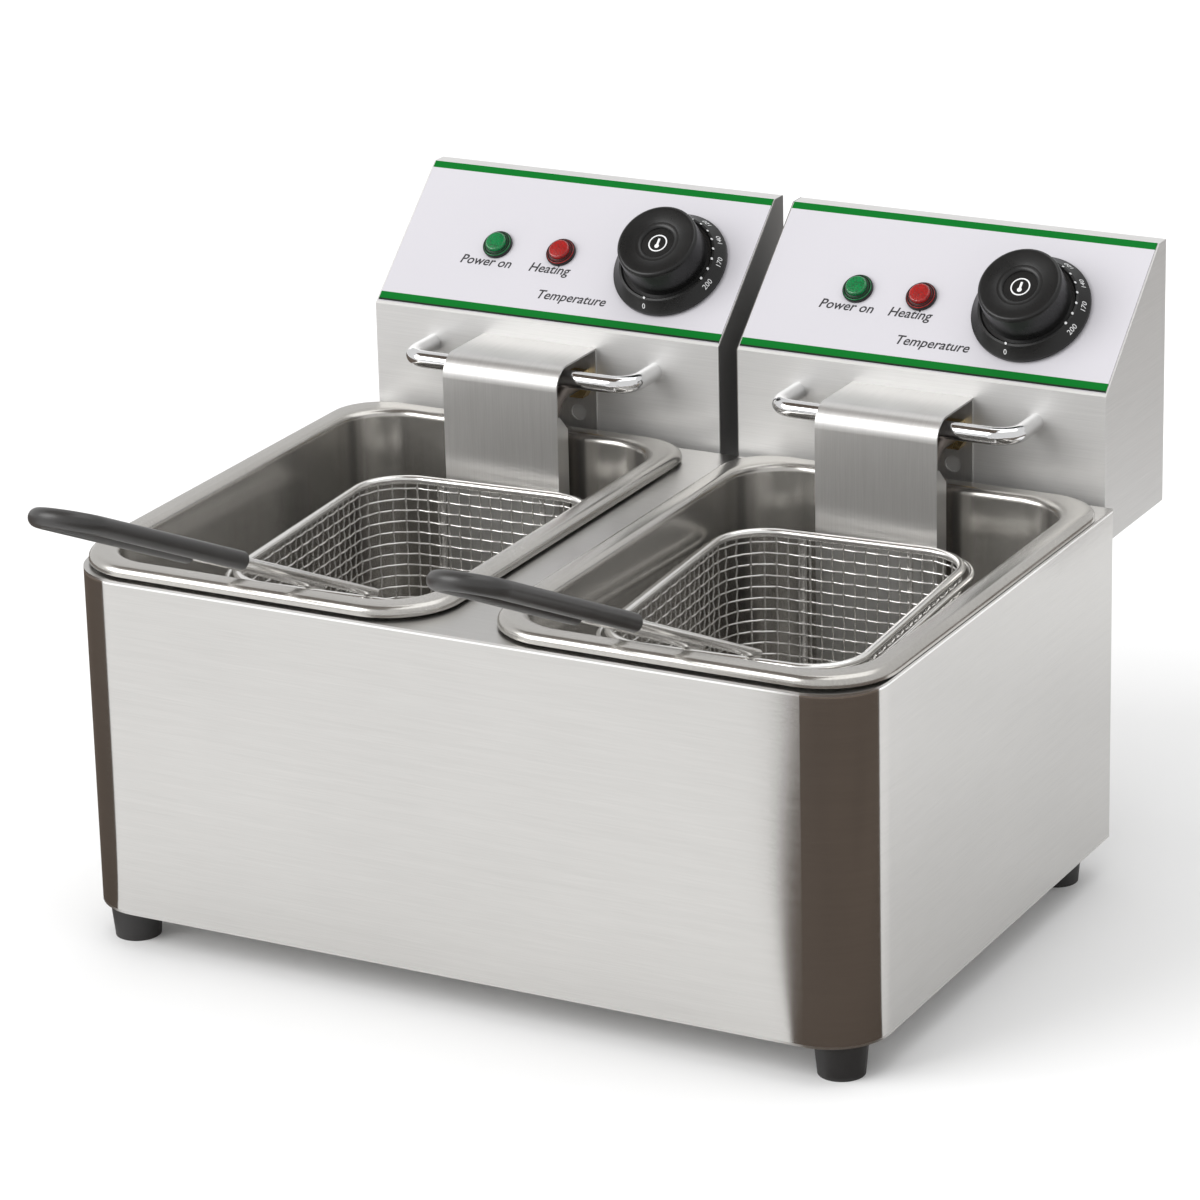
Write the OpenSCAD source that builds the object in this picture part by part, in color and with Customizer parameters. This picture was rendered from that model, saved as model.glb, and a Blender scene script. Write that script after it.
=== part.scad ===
// Twin-well countertop deep fryer: one housing, two lift-out tanks, two hang-on
// control heads with immersion elements, and two wire baskets.
// Millimetres. X runs along the front, Y to the rear, Z up. The table is Z = 0 and
// the origin is the middle of the overall box in plan.

/* [Housing] */
// Width of the housing across both wells
housing_width = 450; // [420:1:540]
// Depth of the housing from front to rear
housing_depth = 309; // [290:1:380]
// Height of the housing top above the table
housing_top = 204; // [180:1:260]
// Radius of the two rounded front corners
corner_radius = 32; // [15:1:40]
// Steel sheet thickness of housing, deck and heads
sheet = 1.2; // [0.8:0.1:2]
// Width of the folded flanges that join the panels
flange = 8; // [6:0.5:9]

/* [Feet] */
// Height of the rubber feet
foot_height = 20; // [12:1:30]
// Foot diameter on the table
foot_bottom = 24; // [18:1:30]
// Foot diameter under the base plate
foot_top = 28; // [22:1:34]
// Distance of the foot centres from the side, front and rear faces
foot_inset = 21.5; // [20:0.5:40]
// Shank diameter of the foot screws
foot_screw = 5; // [4:0.5:6]

/* [Tanks] */
// Distance between the centres of the two tanks
tank_pitch = 239; // [232:1:300]
// Width of the tank over its rim
tank_width = 213; // [190:1:216]
// Length of the tank over its rim
tank_length = 301; // [270:1:303]
// Width of the rim flange round the opening
rim_flange = 14; // [10:0.5:18]
// Inner corner radius of the tank
tank_corner = 30; // [20:1:40]
// Depth of the tank from the rim to the floor
tank_depth = 150; // [120:1:160]
// Sheet thickness of the tank
tank_sheet = 1; // [0.8:0.1:1.5]
// Height of the rim above the deck
rim_height = 7; // [5:0.5:10]
// Height of the skirt below the rim
rim_skirt = 5.5; // [4:0.5:7]
// Distance of the rim from the housing front
rim_setback = 2.5; // [1:0.5:6]

/* [Heads] */
// Distance between the centres of the two heads
head_pitch = 223.6; // [218:0.2:300]
// Width of one head
head_width = 213; // [190:1:216]
// Gap between the housing rear face and the head front
head_gap = 5.3; // [5:0.1:8]
// Height of the foot of the sloping panel above the housing top
slope_foot = 58.2; // [50:0.2:80]
// Rise of the sloping panel
slope_rise = 63.9; // [50:0.1:80]
// Run of the sloping panel
slope_run = 71.2; // [55:0.1:85]
// Depth of the flat top behind the slope
head_ledge = 9.4; // [6:0.2:20]
// Distance the head hangs below the housing top
head_drop = 22.6; // [15:0.2:40]
// Thickness of the printed label plate
label_thickness = 0.5; // [0.3:0.1:1]

/* [Controls] */
// Height of the controls up the slope
control_row = 45.5; // [38:0.5:58]
// Green lamp from the left edge of the head
green_place = 56.4; // [50:0.2:64]
// Red lamp from the left edge of the head
red_place = 93.5; // [84:0.2:104]
// Thermostat knob from the left edge of the head
knob_place = 157; // [140:0.5:165]
// Spread of the controls of the left head against the right head
left_spread = 1.07; // [1:0.01:1.12]
// Diameter of the dial skirt
dial_diameter = 65; // [50:0.5:70]
// Diameter of the knob cap
cap_diameter = 44.4; // [34:0.2:48]
// Height of the knob over the label
knob_height = 27; // [20:0.5:32]
// Diameter of the lamp bezels
bezel_diameter = 17; // [14:0.5:20]
// Diameter of the thermostat spindle
spindle_diameter = 6; // [5:0.5:8]

/* [Lift handle] */
// Rod diameter of the lift handle
bail_rod = 9.6; // [8:0.2:12]
// Distance between the two ends of the lift handle
bail_span = 137.5; // [120:0.5:150]
// Reach of the lift handle in front of the head
bail_reach = 29.6; // [24:0.2:36]
// Height of the lift handle above the housing top
bail_height = 39.4; // [38:0.2:46]
// Bend radius at the rod centre line
bail_bend = 12; // [9:0.5:16]
// Sideways offset of the lift handle from the head centre
bail_offset = -1.7; // [-4:0.1:4]

/* [Element] */
// Width of the sheet shield over the element legs
shield_width = 70; // [62:1:80]
// Sideways offset of the shield from the head centre
shield_offset = -3.4; // [-6:0.1:6]
// Height of the shield top above the housing top
shield_height = 48.5; // [48:0.5:56]
// How far the shield stands ahead of the rear wall of the well
shield_inset = 21.5; // [18:0.1:25]
// Height of the lower edge of the shield above the tank floor
shield_clear = 38; // [20:1:60]
// Diameter of the element tube
element_tube = 7.5; // [6.5:0.5:8.5]
// Distance between the two element legs
element_legs = 52; // [40:1:54]
// Height of the element legs above the housing top
element_height = 28.8; // [26:0.2:29]
// Height of the element loops above the tank floor
element_floor = 14; // [10:0.5:20]
// Distance between neighbouring element loops
element_loop = 40; // [30:1:44]

/* [Baskets] */
// Width of the basket between the rim wire centres
basket_width = 136; // [120:1:142]
// Length of the basket between the rim wire centres
basket_length = 184; // [160:1:188]
// Corner radius of the basket at the rim wire centre
basket_corner = 28; // [18:1:36]
// Depth of the rim wire centre below the housing top
basket_sink = 18.8; // [10:0.2:30]
// Rim wire diameter
rim_wire = 4.6; // [3.5:0.1:5.5]
// Diameter of the outer ring wire
ring_wire = 3.2; // [2.4:0.1:4]
// Wall thickness of the woven wire
mesh_wall = 1.2; // [1:0.1:2]
// Turn of each basket in its tank
basket_turn = 3.5; // [0:0.5:4]
// Distance of the right basket from its tank centre, towards the middle strip
right_basket_shift = 12; // [4:0.5:12]
// Distance of the left basket from its tank centre, towards the middle strip
left_basket_shift = 9; // [4:0.5:12]
// Distance of the basket centre behind the housing front
basket_place = 164; // [158:0.5:166]

/* [Basket handles] */
// Diameter of the handle wire
handle_wire = 4.8; // [4:0.1:5.5]
// Distance between the two handle wires
handle_span = 33.8; // [26:0.2:44]
// Length of the handle from the rim wire to its tip
handle_length = 236; // [200:1:260]
// Length of the bare wire between the rim wire and the grip
handle_bare = 105; // [80:1:120]
// Rise of the plane of the handle above level
handle_rise = 25.4; // [24:0.1:32]
// Sideways lean of the handle within that plane
handle_lean = 9.5; // [0:0.5:14]
// Diameter of the sleeve of the grip
grip_diameter = 9.6; // [8:0.2:12]

/* [Fits] */
// Radial clearance of parts that turn or slide in a bore
running_fit = 0.08; // [0.03:0.01:0.1]
// Radial clearance of screws and rods in their holes
hole_fit = 0.15; // [0.1:0.05:0.3]
// Clearance between sheets that slide past each other
slide_gap = 0.4; // [0.35:0.05:0.6]

/* [Hidden] */
$fn = 64;
tiny = 0.01;

// Housing
wall_foot = foot_height + sheet;
wall_top = housing_top - sheet;
foot_x = housing_width / 2 - foot_inset;
foot_y = [foot_inset, housing_depth - foot_inset];
foot_bore = foot_height - 6;
screw_head = 2.4;

// Tanks
well_width = tank_width - 2 * rim_flange;
well_length = tank_length - 2 * rim_flange;
tank_y = rim_setback + tank_length / 2;
rim_top = housing_top + rim_height;
rim_under = rim_top - tank_sheet;
tank_floor = rim_top - tank_depth;
floor_bend = 18;
rim_round = 3;
deck_gap = 2;
lip_height = rim_under - housing_top;

// Heads
head_front = housing_depth + head_gap;
slope_low = housing_top + slope_foot;
head_top = slope_low + slope_rise;
slope_back = head_front + slope_run;
head_rear = slope_back + head_ledge;
casing_rear = head_rear - sheet;
head_bottom = housing_top - head_drop;
slope_length = sqrt(slope_run * slope_run + slope_rise * slope_rise);
slope_lean = atan2(slope_run, slope_rise);
cover_rim = 10;
lamp_hole = 12;
bush_diameter = 9;
bush_hole = bush_diameter + 2 * hole_fit;
label_margin = 1;

// Rails on the rear of the housing and brackets under the heads
rail_width = 118;
rail_pocket = 98.8;
rail_foot = housing_top - 64;
rail_top = housing_top - 1 - sheet;
tongue_foot = housing_top - 54;
tongue_top = housing_top - 1;

// Lift handle
bail_z = housing_top + bail_height;
bail_stub = 6;
bail_nut = 13;

// Element and shield
shield_sheet = 1;
shield_top = housing_top + shield_height;
shield_front = tank_y + well_length / 2 - shield_inset;
shield_reach = head_front - shield_front;
shield_bend = 12;
shield_low = tank_floor + shield_clear;
shield_side = 12;
shield_side_top = shield_top - 27;
element_z = housing_top + element_height;
element_bend = 14;
leg_y = tank_y + well_length / 2 - 10.5;
loop_z = tank_floor + element_floor;
loop_bend = 13;
loop_rear = leg_y - element_bend - loop_bend;
loop_front = 62;
loop_outer = element_legs / 2 + element_loop;
middle_turn = loop_rear - 44;
terminal_end = head_front + 14;
nut_hex = 17;
nut_deep = 7;

// Rear fittings of the heads
gland_x = 62;
gland_z = head_bottom + 34;
gland_barrel = 14;
reset_x = -62;
reset_z = head_bottom + 34;
cutout_bush = 9;
reset_travel = 2;
reset_button_size = 5;

// Sensor bulb
bulb_diameter = 6;
capillary = 2.4;

// Baskets
rim_z = housing_top - basket_sink;
ring_out = 5.3;
ring_drop = 3;
mesh_top = rim_z - rim_wire / 2;
runner_wire = 3.6;
runner_foot = loop_z + element_tube / 2;
mesh_foot = runner_foot + runner_wire;
mesh_bend = 9;
runner_place = 30;
mesh_out = mesh_wall / 2;
handle_over = (rim_wire + handle_wire) / 2 / cos(handle_rise);
handle_inside = 12;

// The tip of the handle and the cable gland bound the fryer in plan. Each handle
// lies in a plane through the rim wire, so both of its wires rest on the rim.
gland_reach = 14;
tip_radius = handle_span / 2;
handle_forward = sin(basket_turn) * sin(handle_lean)
    + cos(basket_turn) * cos(handle_lean) * cos(handle_rise);
handle_across = cos(basket_turn) * sin(handle_lean) * cos(handle_rise)
    - sin(basket_turn) * cos(handle_lean);
tip_centre = basket_place - basket_length / 2 * cos(basket_turn)
    - (handle_length - tip_radius) * handle_forward;
front_end = tip_centre - grip_diameter / 2
    - tip_radius * sqrt(handle_forward * handle_forward + handle_across * handle_across);
rear_end = head_rear + gland_reach;
middle_y = (front_end + rear_end) / 2;

// Colours
steel = [0.80, 0.80, 0.79];
bright = [0.88, 0.88, 0.88];
black = [0.10, 0.10, 0.10];
brass = [0.78, 0.60, 0.30];
dark = [0.25, 0.25, 0.26];
green = [0.05, 0.45, 0.15];
red = [0.70, 0.05, 0.05];

// ---------- shared shapes ----------

// Everything is drawn with Y = 0 at the housing front, then moved to the origin.
module placed() {
    translate([0, -middle_y, 0])
        children();
}

module at_tank(side) {
    placed()
        translate([side * tank_pitch / 2, 0, 0])
            children();
}

module at_head(side) {
    placed()
        translate([side * head_pitch / 2, 0, 0])
            children();
}

// A basket stands a little off its tank centre and slightly turned.
module at_basket(side) {
    shift = side > 0 ? right_basket_shift : left_basket_shift;
    placed()
        translate([side * (tank_pitch / 2 - shift), basket_place, 0])
            rotate(basket_turn)
                children();
}

// Centre of a control from the head centre; the left head is spread a little wider.
function control_x(side, place) =
    (side < 0 ? place * left_spread : place) - head_width / 2;

// Local frame on the sloping panel: X across, Y up the slope, Z out of the panel.
module on_slope(x, up) {
    translate([x, head_front + up * sin(slope_lean), slope_low + up * cos(slope_lean)])
        rotate([90 - slope_lean, 0, 0])
            children();
}

module round_rect(w, l, r) {
    square([w - 2 * r, l], center = true);
    square([w, l - 2 * r], center = true);
    for (sx = [-1, 1], sy = [-1, 1])
        translate([sx * (w / 2 - r), sy * (l / 2 - r)])
            circle(r);
}

// Plan of the housing: rounded at the front, square at the rear.
module front_round(w, d, r) {
    translate([-w / 2, r])
        square([w, d - r]);
    translate([-w / 2 + r, 0])
        square([w - 2 * r, d]);
    for (sx = [-1, 1])
        translate([sx * (w / 2 - r), r])
            circle(r);
}

// Sweeps a section round a rounded rectangle. Section X runs outwards from the
// line of the rectangle and section Y runs up.
module swept(w, l, r) {
    for (k = [0, 1])
        rotate(180 * k) {
            swept_side(w, l, r)
                children();
            rotate(90)
                swept_side(l, w, r)
                    children();
        }
}

module swept_side(w, l, r) {
    translate([w / 2, l / 2 - r, 0])
        rotate([90, 0, 0])
            linear_extrude(l - 2 * r)
                children();
    translate([w / 2 - r, l / 2 - r, 0])
        rotate_extrude(angle = 90)
            translate([r, 0])
                children();
}

module rod_y(d, length) {
    rotate([-90, 0, 0])
        cylinder(h = length, d = d);
}

module rod_x(d, length) {
    rotate([0, 90, 0])
        cylinder(h = length, d = d, center = true);
}

// Quarter bend lying in the XY plane, from the X axis round to the Y axis.
module quarter(radius, d) {
    rotate_extrude(angle = 90)
        translate([radius, 0])
            circle(d = d);
}

module pan_screw(d, head, deep, length) {
    translate([0, 0, -length])
        cylinder(h = length + tiny, d = d);
    cylinder(h = deep, d = head);
}

// ---------- housing ----------

module housing_shell() {
    color(steel)
        placed()
            difference() {
                translate([0, 0, wall_foot])
                    linear_extrude(wall_top - wall_foot)
                        front_round(housing_width, housing_depth, corner_radius);
                translate([0, sheet, wall_foot + sheet])
                    linear_extrude(wall_top - wall_foot - 2 * sheet)
                        front_round(housing_width - 2 * sheet, housing_depth - 3 * sheet,
                            corner_radius - sheet);
                // The flanges stand inwards from the walls at top, bottom and rear.
                translate([0, flange + sheet, 0])
                    linear_extrude(housing_top)
                        front_round(housing_width - 2 * flange - 2 * sheet,
                            housing_depth - flange - 2 * sheet - 8, corner_radius - flange - sheet);
                translate([-housing_width / 2 + sheet + 12, housing_depth - 30, wall_foot + sheet])
                    cube([housing_width - 2 * sheet - 24, 40, wall_top - wall_foot - 2 * sheet]);
                translate([-housing_width / 2 + sheet, housing_depth - sheet, 0])
                    cube([housing_width - 2 * sheet, sheet + tiny, housing_top]);
                panel_screw_places()
                    rotate([-90, 0, 0])
                        cylinder(h = 12, d = 3.4 + 2 * hole_fit, center = true);
            }
}

module top_deck() {
    color(steel)
        placed() {
            difference() {
                translate([0, 0, wall_top])
                    linear_extrude(sheet)
                        front_round(housing_width, housing_depth, corner_radius);
                for (side = [-1, 1])
                    translate([side * tank_pitch / 2, tank_y, 0])
                        linear_extrude(housing_top + 10)
                            deck_opening(0);
            }
            // Upturned lips carry the tank rims and keep spills out of the housing.
            for (side = [-1, 1])
                translate([side * tank_pitch / 2, tank_y, wall_top])
                    linear_extrude(sheet + lip_height)
                        difference() {
                            deck_opening(sheet);
                            deck_opening(0);
                        }
        }
}

module deck_opening(extra) {
    grow = tank_sheet + deck_gap + extra;
    round_rect(well_width + 2 * grow, well_length + 2 * grow, tank_corner + grow);
}

module base_plate() {
    color(steel)
        placed()
            difference() {
                translate([0, 0, foot_height])
                    linear_extrude(sheet)
                        front_round(housing_width, housing_depth, corner_radius);
                foot_places()
                    cylinder(h = 3 * foot_height, d = foot_screw + 2 * hole_fit);
                // Drain and cooling slots under each well
                for (side = [-1, 1], k = [-3 : 3])
                    translate([side * tank_pitch / 2 + k * 18, housing_depth / 2, 0])
                        linear_extrude(3 * foot_height)
                            round_rect(6, 90, 2.9);
            }
}

module panel_screw_places() {
    for (sx = [-1, 1], z = [wall_foot + 18, (wall_foot + wall_top) / 2, wall_top - 14])
        translate([sx * (housing_width / 2 - sheet - 6), housing_depth, z])
            children();
}

module rear_panel() {
    color(steel)
        placed()
            difference() {
                translate([-housing_width / 2 + sheet + 0.2, housing_depth - sheet, wall_foot])
                    cube([housing_width - 2 * sheet - 0.4, sheet, wall_top - wall_foot]);
                panel_screw_places()
                    rotate([-90, 0, 0])
                        cylinder(h = 12, d = 3.4 + 2 * hole_fit, center = true);
                for (side = [-1, 1], row = [0 : 5], col = [-1, 0, 1])
                    translate([side * head_pitch / 2 + col * 52, housing_depth, 48 + row * 13])
                        rotate([90, 0, 0])
                            linear_extrude(8, center = true)
                                round_rect(40, 4, 1.9);
            }
}

// Shallow channels that take the tongues of the head brackets from above
module rear_rails() {
    color(steel)
        for (side = [-1, 1])
            at_head(side)
                translate([0, housing_depth, rail_foot])
                    linear_extrude(rail_top - rail_foot)
                        difference() {
                            translate([-rail_width / 2, 0])
                                square([rail_width, 2 * sheet + 2 * slide_gap - 0.2]);
                            translate([-rail_pocket / 2, -1])
                                square([rail_pocket, 1 + sheet + 2 * slide_gap]);
                        }
}

module foot_places() {
    for (sx = [-1, 1], y = foot_y)
        translate([sx * foot_x, y, 0])
            children();
}

module rubber_feet() {
    color(black)
        placed()
            foot_places()
                difference() {
                    cylinder(h = foot_height, d1 = foot_bottom, d2 = foot_top);
                    translate([0, 0, foot_height - foot_bore])
                        cylinder(h = foot_height, d = foot_screw + 2 * running_fit);
                }
}

module foot_screws() {
    color(bright)
        placed()
            foot_places()
                translate([0, 0, foot_height + sheet])
                    pan_screw(foot_screw, 9, screw_head, sheet + foot_bore - 1);
}

module panel_screws() {
    color(bright)
        placed()
            panel_screw_places()
                rotate([-90, 0, 0])
                    pan_screw(3.4, 6.8, 2, 8);
}

// ---------- tanks ----------

// Section of rim, wall and bottom bend; X = 0 is the inner face of the wall.
module tank_section() {
    // Wall
    translate([0, tank_floor + floor_bend])
        square([tank_sheet, rim_top - tank_floor - floor_bend]);
    // Flange
    translate([0, rim_under])
        square([rim_flange - rim_round, tank_sheet]);
    // Rolled edge and skirt
    intersection() {
        translate([rim_flange - rim_round, rim_top - rim_round])
            difference() {
                circle(rim_round);
                circle(rim_round - tank_sheet);
            }
        translate([rim_flange - rim_round, rim_top - rim_round])
            square([2 * rim_round, 2 * rim_round]);
    }
    translate([rim_flange - tank_sheet, rim_top - rim_skirt])
        square([tank_sheet, rim_skirt - rim_round]);
    // Bottom bend
    intersection() {
        translate([-floor_bend, tank_floor + floor_bend])
            difference() {
                circle(floor_bend + tank_sheet);
                circle(floor_bend);
            }
        translate([-floor_bend, tank_floor - 2 * tank_sheet])
            square([floor_bend + tank_sheet, floor_bend + 2 * tank_sheet]);
    }
}

module tank(side) {
    color(bright)
        at_tank(side)
            translate([0, tank_y, 0]) {
                swept(well_width, well_length, tank_corner)
                    tank_section();
                translate([0, 0, tank_floor - tank_sheet])
                    linear_extrude(tank_sheet)
                        round_rect(well_width - 2 * floor_bend, well_length - 2 * floor_bend,
                            tank_corner - floor_bend);
            }
}

module left_tank() {
    tank(-1);
}

module right_tank() {
    tank(1);
}

// ---------- heads ----------

// Side view of the head, drawn with X to the rear and Y up, shrunk by a wall.
module head_side_view(wall) {
    ny = -cos(slope_lean);
    nz = sin(slope_lean);
    low = wall * (1 + ny) / sin(slope_lean);
    high = wall * (nz - 1) / cos(slope_lean);
    polygon([
        [head_front + wall, head_bottom + wall],
        [head_front + wall, slope_low - nz * wall + low * cos(slope_lean)],
        [slope_back - ny * wall + high * sin(slope_lean), head_top - wall],
        [casing_rear - wall, head_top - wall],
        [casing_rear - wall, head_bottom + wall]
    ]);
}

module head_block(width, wall) {
    translate([-width / 2, 0, 0])
        rotate([90, 0, 90])
            linear_extrude(width)
                head_side_view(wall);
}

module cover_screw_places() {
    for (sx = [-1, 1], z = [head_bottom + 6, head_top - 6])
        translate([sx * (head_width / 2 - 6), head_rear, z])
            children();
}

module bail_places() {
    for (sx = [-1, 1])
        translate([bail_offset + sx * bail_span / 2, head_front, bail_z])
            children();
}

module leg_places() {
    for (sx = [-1, 1])
        translate([shield_offset + sx * element_legs / 2, head_front, element_z])
            children();
}

module head_casing(side) {
    color(steel)
        at_head(side)
            difference() {
                head_block(head_width, 0);
                head_block(head_width - 2 * sheet, sheet);
                translate([0, casing_rear, (head_bottom + head_top) / 2])
                    cube([head_width - 2 * cover_rim, 4 * sheet,
                        head_top - head_bottom - 2 * cover_rim], center = true);
                cover_screw_places()
                    rotate([-90, 0, 0])
                        cylinder(h = 12, d = 3.4 + 2 * hole_fit, center = true);
                bail_places()
                    translate([0, -5, 0])
                        rod_y(bail_stub + 2 * hole_fit, 12);
                leg_places()
                    translate([0, -5, 0])
                        rod_y(element_tube + 2 * hole_fit, 12);
                translate([shield_offset, head_front - 5, element_z])
                    rod_y(capillary + 2 * hole_fit, 12);
                on_slope(control_x(side, green_place), control_row)
                    cylinder(h = 20, d = lamp_hole, center = true);
                on_slope(control_x(side, red_place), control_row)
                    cylinder(h = 20, d = lamp_hole, center = true);
                on_slope(control_x(side, knob_place), control_row)
                    cylinder(h = 20, d = bush_hole, center = true);
            }
}

module back_cover(side) {
    color(steel)
        at_head(side)
            difference() {
                translate([-head_width / 2, casing_rear, head_bottom])
                    cube([head_width, sheet, head_top - head_bottom]);
                cover_screw_places()
                    rotate([-90, 0, 0])
                        cylinder(h = 12, d = 3.4 + 2 * hole_fit, center = true);
                translate([gland_x, head_rear, gland_z])
                    rotate([90, 0, 0])
                        cylinder(h = 12, d = gland_barrel + 2 * hole_fit, center = true);
                translate([reset_x, head_rear, reset_z])
                    rotate([90, 0, 0])
                        cylinder(h = 12, d = cutout_bush + 2 * hole_fit, center = true);
                for (row = [0 : 5])
                    translate([0, head_rear, head_top - 30 - row * 12])
                        rotate([90, 0, 0])
                            linear_extrude(8, center = true)
                                round_rect(70, 4, 1.9);
            }
}

module cover_screws(side) {
    color(bright)
        at_head(side)
            cover_screw_places()
                rotate([-90, 0, 0])
                    pan_screw(3.4, 6.8, 2, 7);
}

module label(side) {
    color([0.89, 0.88, 0.91])
        at_head(side)
            on_slope(0, 0)
                difference() {
                    translate([-head_width / 2 + label_margin, 2, 0])
                        cube([head_width - 2 * label_margin, slope_length - 2, label_thickness]);
                    translate([control_x(side, green_place), control_row, -1])
                        cylinder(h = 4, d = lamp_hole);
                    translate([control_x(side, red_place), control_row, -1])
                        cylinder(h = 4, d = lamp_hole);
                    translate([control_x(side, knob_place), control_row, -1])
                        cylinder(h = 4, d = bush_hole);
                }
}

// Knob with a conical dial skirt, a drum cap and a dished crown
module knob(side) {
    foot = label_thickness + 0.6;
    top = label_thickness + knob_height;
    dish = 60;
    color(black)
        at_head(side)
            on_slope(control_x(side, knob_place), control_row)
                difference() {
                    union() {
                        translate([0, 0, foot])
                            cylinder(h = 1.6, d = dial_diameter);
                        translate([0, 0, foot + 1.6 - tiny])
                            cylinder(h = 7, d1 = dial_diameter, d2 = cap_diameter + 6);
                        translate([0, 0, foot + 8])
                            cylinder(h = top - foot - 10, d1 = cap_diameter + 2, d2 = cap_diameter);
                        translate([0, 0, top - 2 - tiny])
                            cylinder(h = 2, d1 = cap_diameter, d2 = cap_diameter - 4);
                    }
                    translate([0, 0, top + dish - 2.4])
                        sphere(dish);
                    // Seat for the spindle
                    translate([0, 0, foot - 1])
                        cylinder(h = 13, d = spindle_diameter + 2 * running_fit);
                    translate([0, 0, foot - 1])
                        cylinder(h = 5, d = bush_diameter + 2);
                }
}

module spindle(side) {
    color(bright)
        at_head(side)
            on_slope(control_x(side, knob_place), control_row)
                translate([0, 0, -sheet - 8])
                    cylinder(h = sheet + 8 + label_thickness + 12, d = spindle_diameter);
}

module thermostat(side) {
    color(dark)
        at_head(side)
            on_slope(control_x(side, knob_place), control_row)
                difference() {
                    union() {
                        translate([-18, -18, -sheet - 22])
                            cube([36, 36, 22]);
                        translate([0, 0, -sheet - tiny])
                            cylinder(h = sheet + label_thickness + 1.5, d = bush_diameter);
                    }
                    translate([0, 0, -sheet - 9])
                        cylinder(h = 30, d = spindle_diameter + 2 * running_fit);
                }
}

// Black bezel with a barrel through the panel; the lens sits in a seat in its face.
module lamp_bodies(side) {
    color(black)
        at_head(side)
            for (place = [green_place, red_place])
                on_slope(control_x(side, place), control_row)
                    difference() {
                        union() {
                            translate([0, 0, label_thickness])
                                cylinder(h = 2.4, d1 = bezel_diameter, d2 = bezel_diameter - 2);
                            translate([0, 0, -sheet - 18])
                                cylinder(h = sheet + 19, d = lamp_hole - 2 * hole_fit);
                        }
                        translate([0, 0, label_thickness + 0.8])
                            cylinder(h = 4, d = bezel_diameter - 3.6);
                    }
}

module lens(side, place, tint) {
    color(tint)
        at_head(side)
            on_slope(control_x(side, place), control_row)
                translate([0, 0, label_thickness + 0.8])
                    union() {
                        cylinder(h = 2, d = bezel_diameter - 3.6 - 2 * running_fit);
                        translate([0, 0, 2 - tiny])
                            cylinder(h = 1.6, d1 = bezel_diameter - 4, d2 = bezel_diameter - 8);
                    }
}

// ---------- lift handle ----------

module lift_handle(side) {
    straight = bail_reach - bail_bend;
    color(bright)
        at_head(side)
            translate([bail_offset, head_front, bail_z]) {
                for (sx = [-1, 1])
                    translate([sx * bail_span / 2, 0, 0]) {
                        translate([0, -straight, 0])
                            rod_y(bail_rod, straight);
                        translate([0, -tiny, 0])
                            rod_y(bail_stub, sheet + 8);
                    }
                translate([bail_span / 2 - bail_bend, -straight, 0])
                    rotate(-90)
                        quarter(bail_bend, bail_rod);
                translate([-bail_span / 2 + bail_bend, -straight, 0])
                    rotate(180)
                        quarter(bail_bend, bail_rod);
                translate([0, -bail_reach, 0])
                    rod_x(bail_rod, bail_span - 2 * bail_bend);
            }
}

module handle_nuts(side) {
    color(bright)
        at_head(side)
            bail_places()
                translate([0, sheet, 0])
                    difference() {
                        rotate([-90, 0, 0])
                            cylinder(h = 5, d = bail_nut, $fn = 6);
                        translate([0, -1, 0])
                            rod_y(bail_stub + 2 * running_fit, 8);
                    }
}

// ---------- shield, element and sensor ----------

// Arched guard over the element legs: back plate, top, bend, front plate and
// two side flanges that start below the bend.
module shield(side) {
    color(steel)
        at_head(side)
            translate([shield_offset, 0, 0])
                difference() {
                    union() {
                        translate([-shield_width / 2, head_front - shield_sheet, housing_top + 2])
                            cube([shield_width, shield_sheet, shield_height - 2]);
                        translate([-shield_width / 2, shield_front + shield_bend,
                            shield_top - shield_sheet])
                            cube([shield_width, shield_reach - shield_bend, shield_sheet]);
                        translate([0, shield_front + shield_bend, shield_top - shield_bend])
                            rotate([90, 0, -90])
                                linear_extrude(shield_width, center = true)
                                    intersection() {
                                        difference() {
                                            circle(shield_bend);
                                            circle(shield_bend - shield_sheet);
                                        }
                                        square(2 * shield_bend);
                                    }
                        translate([-shield_width / 2, shield_front, shield_low])
                            cube([shield_width, shield_sheet,
                                shield_top - shield_bend - shield_low]);
                        for (sx = [-1, 1])
                            translate([sx * (shield_width - shield_sheet) / 2, 0, 0])
                                rotate([90, 0, 90])
                                    linear_extrude(shield_sheet, center = true)
                                        polygon([
                                            [shield_front, shield_low],
                                            [shield_front + shield_side, shield_low],
                                            [shield_front + shield_side, shield_side_top - 9],
                                            [shield_front + 3, shield_side_top],
                                            [shield_front, shield_side_top]
                                        ]);
                    }
                    for (sx = [-1, 1])
                        translate([sx * element_legs / 2, head_front - 5, element_z])
                            rod_y(element_tube + 2 * hole_fit, 12);
                    translate([0, head_front - 5, element_z])
                        rod_y(capillary + 2 * hole_fit, 12);
                    // Locating holes in the back plate
                    for (sx = [-1, 1])
                        translate([sx * 24, head_front - 5, housing_top + 11])
                            rod_y(9, 12);
                }
}

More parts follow.
